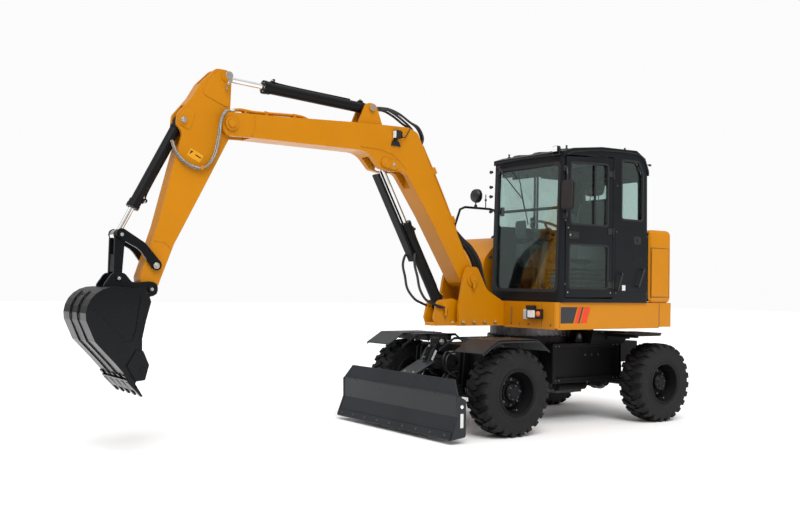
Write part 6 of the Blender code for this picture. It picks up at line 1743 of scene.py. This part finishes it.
def arm_fittings():
    """Pins, sleeved hose, doublers, welds and the blank label on the arm."""
    body = "arm"
    half = 0.075
    label = Shape()
    label.slab([(3.775, 2.455), (3.812, 2.392), (3.925, 2.450), (3.890, 2.512)], "xz",
               half, half + 0.0012)
    piece("arm_label", body, LABEL_YELLOW, label)
    panel = Shape()
    panel.slab([(3.868, 2.484), (3.890, 2.494), (3.904, 2.458)], "xz", half + 0.001, half + 0.0020)
    panel.slab([(3.800, 2.438), (3.848, 2.464), (3.853, 2.456), (3.805, 2.430)], "xz",
               half + 0.001, half + 0.0020)
    piece("arm_label_panels", body, TRIM_BLACK, panel)
    doubler = Shape()
    for side in (1, -1):
        inner, outer = side * half, side * (half + 0.006)
        upper = [(3.555, 2.88), (3.80, 2.98), (3.76, 3.08), (3.66, 3.19), (3.555, 3.18)]
        lower = [(3.905, 2.66), (4.005, 2.70), (3.995, 2.79), (3.92, 2.86), (3.86, 2.80)]
        for outline, corner in ((upper, 0.03), (lower, 0.02)):
            doubler.slab(rounded(outline, corner), "xz", *sorted((inner, outer)))
    piece("arm_doublers", body, YELLOW, doubler, edge=0.002)
    welds = Shape()
    for side in (1, -1):
        y = side * half
        welds.weld([(4.045, y, 1.67), (4.10, y, 1.72), (4.19, y, 1.73)], 0.004)
    piece("arm_weld_seams", body, YELLOW, welds)
    locks = Shape()
    for side in (1, -1):
        for centre, reach, radius in ((BUCKET_CYL_FOOT, 0.090, 0.026), (GUIDE_PIN, 0.118, 0.026)):
            at = Vector((centre[0], side * reach, centre[1]))
            locks.rod(at, at + Vector((0, side * 0.006, 0)), radius, sides=24)
            locks.bolt(at + Vector((0, side * 0.005, 0)), (0, side, 0), 0.010)
    locks.rod((3.59, 0.088, 3.05), (3.59, 0.096, 3.05), 0.011, sides=18)
    piece("arm_pin_locks", body, ZINC, locks, edge=0.001)
    clip = Shape()
    clip.block((3.790, half, 2.335), (3.816, half + 0.044, 2.372))
    piece("arm_hose_clips", body, YELLOW, clip, edge=0.004)


def link_fittings():
    """Pin ends, grease points and bolts on the links that turn the bucket."""
    for body, ends in (("guide_links", [(LINK_TOP, 0.116, 0.026)]),
                       ("bucket_link", [(BUCKET_LINK_PIN, 0.108, 0.026)]),
                       ("bucket", [(BUCKET_PIN, 0.121, 0.028)])):
        pins, bright = Shape(), Shape()
        for centre, reach, radius in ends:
            for side in (1, -1):
                at = Vector((centre[0], side * reach, centre[1]))
                out = Vector((0, side, 0))
                pins.rod(at, at + out * 0.006, radius, sides=24)
                bright.bolt(at + out * 0.005, out, 0.009)
                bright.rod(at + out * 0.006, at + out * 0.022, 0.004, sides=8)
        piece(f"{body}_pin_ends", body, BUCKET_BLACK, pins, edge=0.001)
        piece(f"{body}_pin_bolts", body, ZINC, bright)


WRAP_CENTRE = (4.575, 1.135)
WRAP_RADIUS = 0.215
# the bucket's outer side line: top plate, round back, floor down to the lip
WRAP = [(4.560, 1.352)]
for degrees in range(80, -13, -8):
    WRAP.append((WRAP_CENTRE[0] + WRAP_RADIUS * math.cos(math.radians(degrees)),
                 WRAP_CENTRE[1] + WRAP_RADIUS * math.sin(math.radians(degrees))))
WRAP += [(4.715, 0.930), (4.560, 0.765), (4.435, 0.622)]


def bucket_fittings():
    """Wear strips, cheek welds, side cutters' bolts, adapters and tooth pins."""
    body = "bucket"
    half = 0.30
    strips = Shape()
    for y in (-0.10, 0.10):
        rows = []
        line = WRAP[4:]
        outer = along(line, 0.001, y)
        raised = along(line, 0.010, y)
        for inner, top in zip(outer, raised):
            rows.append([inner + Vector((0, -0.008, 0)), inner + Vector((0, 0.008, 0)),
                         top + Vector((0, 0.006, 0)), top + Vector((0, -0.006, 0))])
        strips.loft(rows)
    piece("bucket_wear_strips", body, BUCKET_BLACK, strips, edge=0.002)
    welds = Shape()
    for side in (1, -1):
        y = side * (half + 0.0005)
        welds.weld([(4.760, y, 1.209), (4.534, y, 0.989), (4.482, y, 0.930), (4.450, y, 0.922),
                    (4.425, y, 0.950), (4.402, y, 1.026), (4.367, y, 1.290)], 0.005)
        welds.weld([(4.40, y, 0.865), (4.475, y, 0.74), (4.415, y, 0.64)], 0.004)
        ear = side * 0.1075
        welds.weld([(4.34, ear, 1.337), (4.44, ear, 1.345), (4.555, ear, 1.353)], 0.006)
    piece("bucket_welds", body, BUCKET_BLACK, welds)
    rim_bar = Shape()
    for side in (1, -1):
        y0, y1 = sorted((side * 0.276, side * 0.302))
        edge = [(4.347, 0.78), (4.35, 0.95), (4.322, 1.09), (4.284, 1.235), (4.312, 1.318)]
        inner = [(4.335, 1.300), (4.312, 1.235), (4.348, 1.09), (4.376, 0.95), (4.373, 0.78)]
        rim_bar.slab(edge + inner, "xz", y0, y1)
    piece("bucket_mouth_bars", body, BUCKET_BLACK, rim_bar, edge=0.002)
    bolts = Shape()
    for side in (1, -1):
        out = Vector((0, side, 0))
        for x, z in ((4.372, 0.825), (4.350, 0.715)):
            bolts.bolt((x, side * 0.314, z), out, 0.014)
            bolts.rod((x, side * 0.296, z), (x, side * 0.300, z), 0.018, sides=18)
    for index in range(5):
        y = -0.275 + index * 0.1375
        for side in (1, -1):
            bolts.rod((4.395, y + side * 0.022, 0.580), (4.395, y + side * 0.027, 0.580), 0.008,
                      sides=14)
    piece("bucket_bolts", body, BUCKET_BLACK, bolts)
    adapters = Shape()
    for index in range(5):
        y = -0.275 + index * 0.1375
        adapters.slab([(4.470, 0.690), (4.415, 0.640), (4.395, 0.596), (4.425, 0.600), (4.488, 0.664)],
                      "xz", y - 0.029, y + 0.029)
    piece("tooth_adapters", body, BUCKET_BLACK, adapters, edge=0.003)
    holes = Shape()
    for y in (-0.04, 0.04):
        spot = across(WRAP[5], y)
        way = (spot - across(WRAP_CENTRE, y)).normalized()
        holes.rod(spot - way * 0.002, spot + way * 0.003, 0.014, sides=18)
    piece("bucket_lifting_bosses", body, BUCKET_BLACK, holes)


# ------------------------------------------------------------------ stage
def sun(name, towards, strength, softness):
    """Even light from one direction, with a shadow softened by its spread in degrees."""
    lamp = bpy.data.lights.new(name, "SUN")
    lamp.energy = strength
    lamp.angle = math.radians(softness)
    item = bpy.data.objects.new(name, lamp)
    item.rotation_euler = Vector(towards).to_track_quat("-Z", "Y").to_euler()
    bpy.context.scene.collection.objects.link(item)


def surroundings(lit, seen):
    """A white room: lit is how much it lights the machine, seen how bright the backdrop is."""
    world = bpy.data.worlds.new("world")
    bpy.context.scene.world = world
    world.use_nodes = True
    tree = world.node_tree
    path = tree.nodes.new("ShaderNodeLightPath")
    level = tree.nodes.new("ShaderNodeMapRange")
    level.inputs["To Max"].default_value = seen
    background = tree.nodes["Background"]
    background.inputs["Color"].default_value = (1.0, 1.0, 1.0, 1.0)
    way = tree.nodes.new("ShaderNodeTexCoord")
    parts = tree.nodes.new("ShaderNodeSeparateXYZ")
    tree.links.new(way.outputs["Generated"], parts.inputs[0])
    height = tree.nodes.new("ShaderNodeMapRange")
    height.interpolation_type = "SMOOTHSTEP"
    height.inputs["From Min"].default_value = -0.1
    height.inputs["To Min"].default_value = lit * 0.5
    height.inputs["To Max"].default_value = lit * 1.9
    tree.links.new(parts.outputs["Z"], height.inputs["Value"])
    tree.links.new(height.outputs["Result"], level.inputs["To Min"])
    tree.links.new(path.outputs["Is Camera Ray"], level.inputs["Value"])
    tree.links.new(level.outputs["Result"], background.inputs["Strength"])


CAMERA_PLACE = (6.905, 7.358, 1.377)
CAMERA_TURN = (4.0958, 0.0236, 0.0158)   # yaw, pitch and roll in radians
CAMERA_LENS = 41.76                      # focal length in millimetres


def stage():
    """Camera, pale floor, white surroundings and studio lights."""
    scene = bpy.context.scene
    yaw, pitch, roll = CAMERA_TURN
    forward = Vector((math.cos(yaw) * math.cos(pitch), math.sin(yaw) * math.cos(pitch), math.sin(pitch)))
    right = forward.cross(Vector((0, 0, 1))).normalized()
    up = right.cross(forward)
    across_ = right * math.cos(roll) + up * math.sin(roll)
    upright = up * math.cos(roll) - right * math.sin(roll)
    lens_data = bpy.data.cameras.new("camera")
    lens_data.lens = CAMERA_LENS
    lens_data.sensor_width = 36.0
    camera = bpy.data.objects.new("camera", lens_data)
    turn = Matrix((across_, upright, -forward)).transposed().to_4x4()
    camera.matrix_world = Matrix.Translation(Vector(CAMERA_PLACE) + SLEW_AXIS) @ turn
    scene.collection.objects.link(camera)
    scene.camera = camera
    floor = bpy.data.meshes.new("floor")
    reach = 60.0
    floor.from_pydata([(-reach, -reach, 0), (reach, -reach, 0), (reach, reach, 0), (-reach, reach, 0)],
                      [], [(0, 1, 2, 3)])
    ground = bpy.data.objects.new("floor", floor)
    scene.collection.objects.link(ground)
    floor.materials.append(Finish("floor", (0.97, 0.97, 0.97), 0.9).material)
    surroundings(lit=0.50, seen=0.97)
    sun("key_light", (-0.35, -0.75, -1.0), 2.15, 35.0)
    sun("fill_light", (-1.0, 0.1, -0.6), 0.35, 50.0)
    scene.view_settings.view_transform = "Standard"


dress_frame()
wheels()
frame_fittings()
front_hoses()
axle_fittings()
fender_fittings()
blade_fittings()
cylinders()
deck_fittings()
tail_fittings()
engine_hood_fittings()
right_hood_fittings()
cab_seals()
cab_outside()
cab_inside()
seat()
boom_bracket_fittings()
bulkhead_hoses()
boom_fittings()
boom_arm_hoses()
boom_cylinder_hoses()
arm_fittings()
link_fittings()
bucket_fittings()
stage()
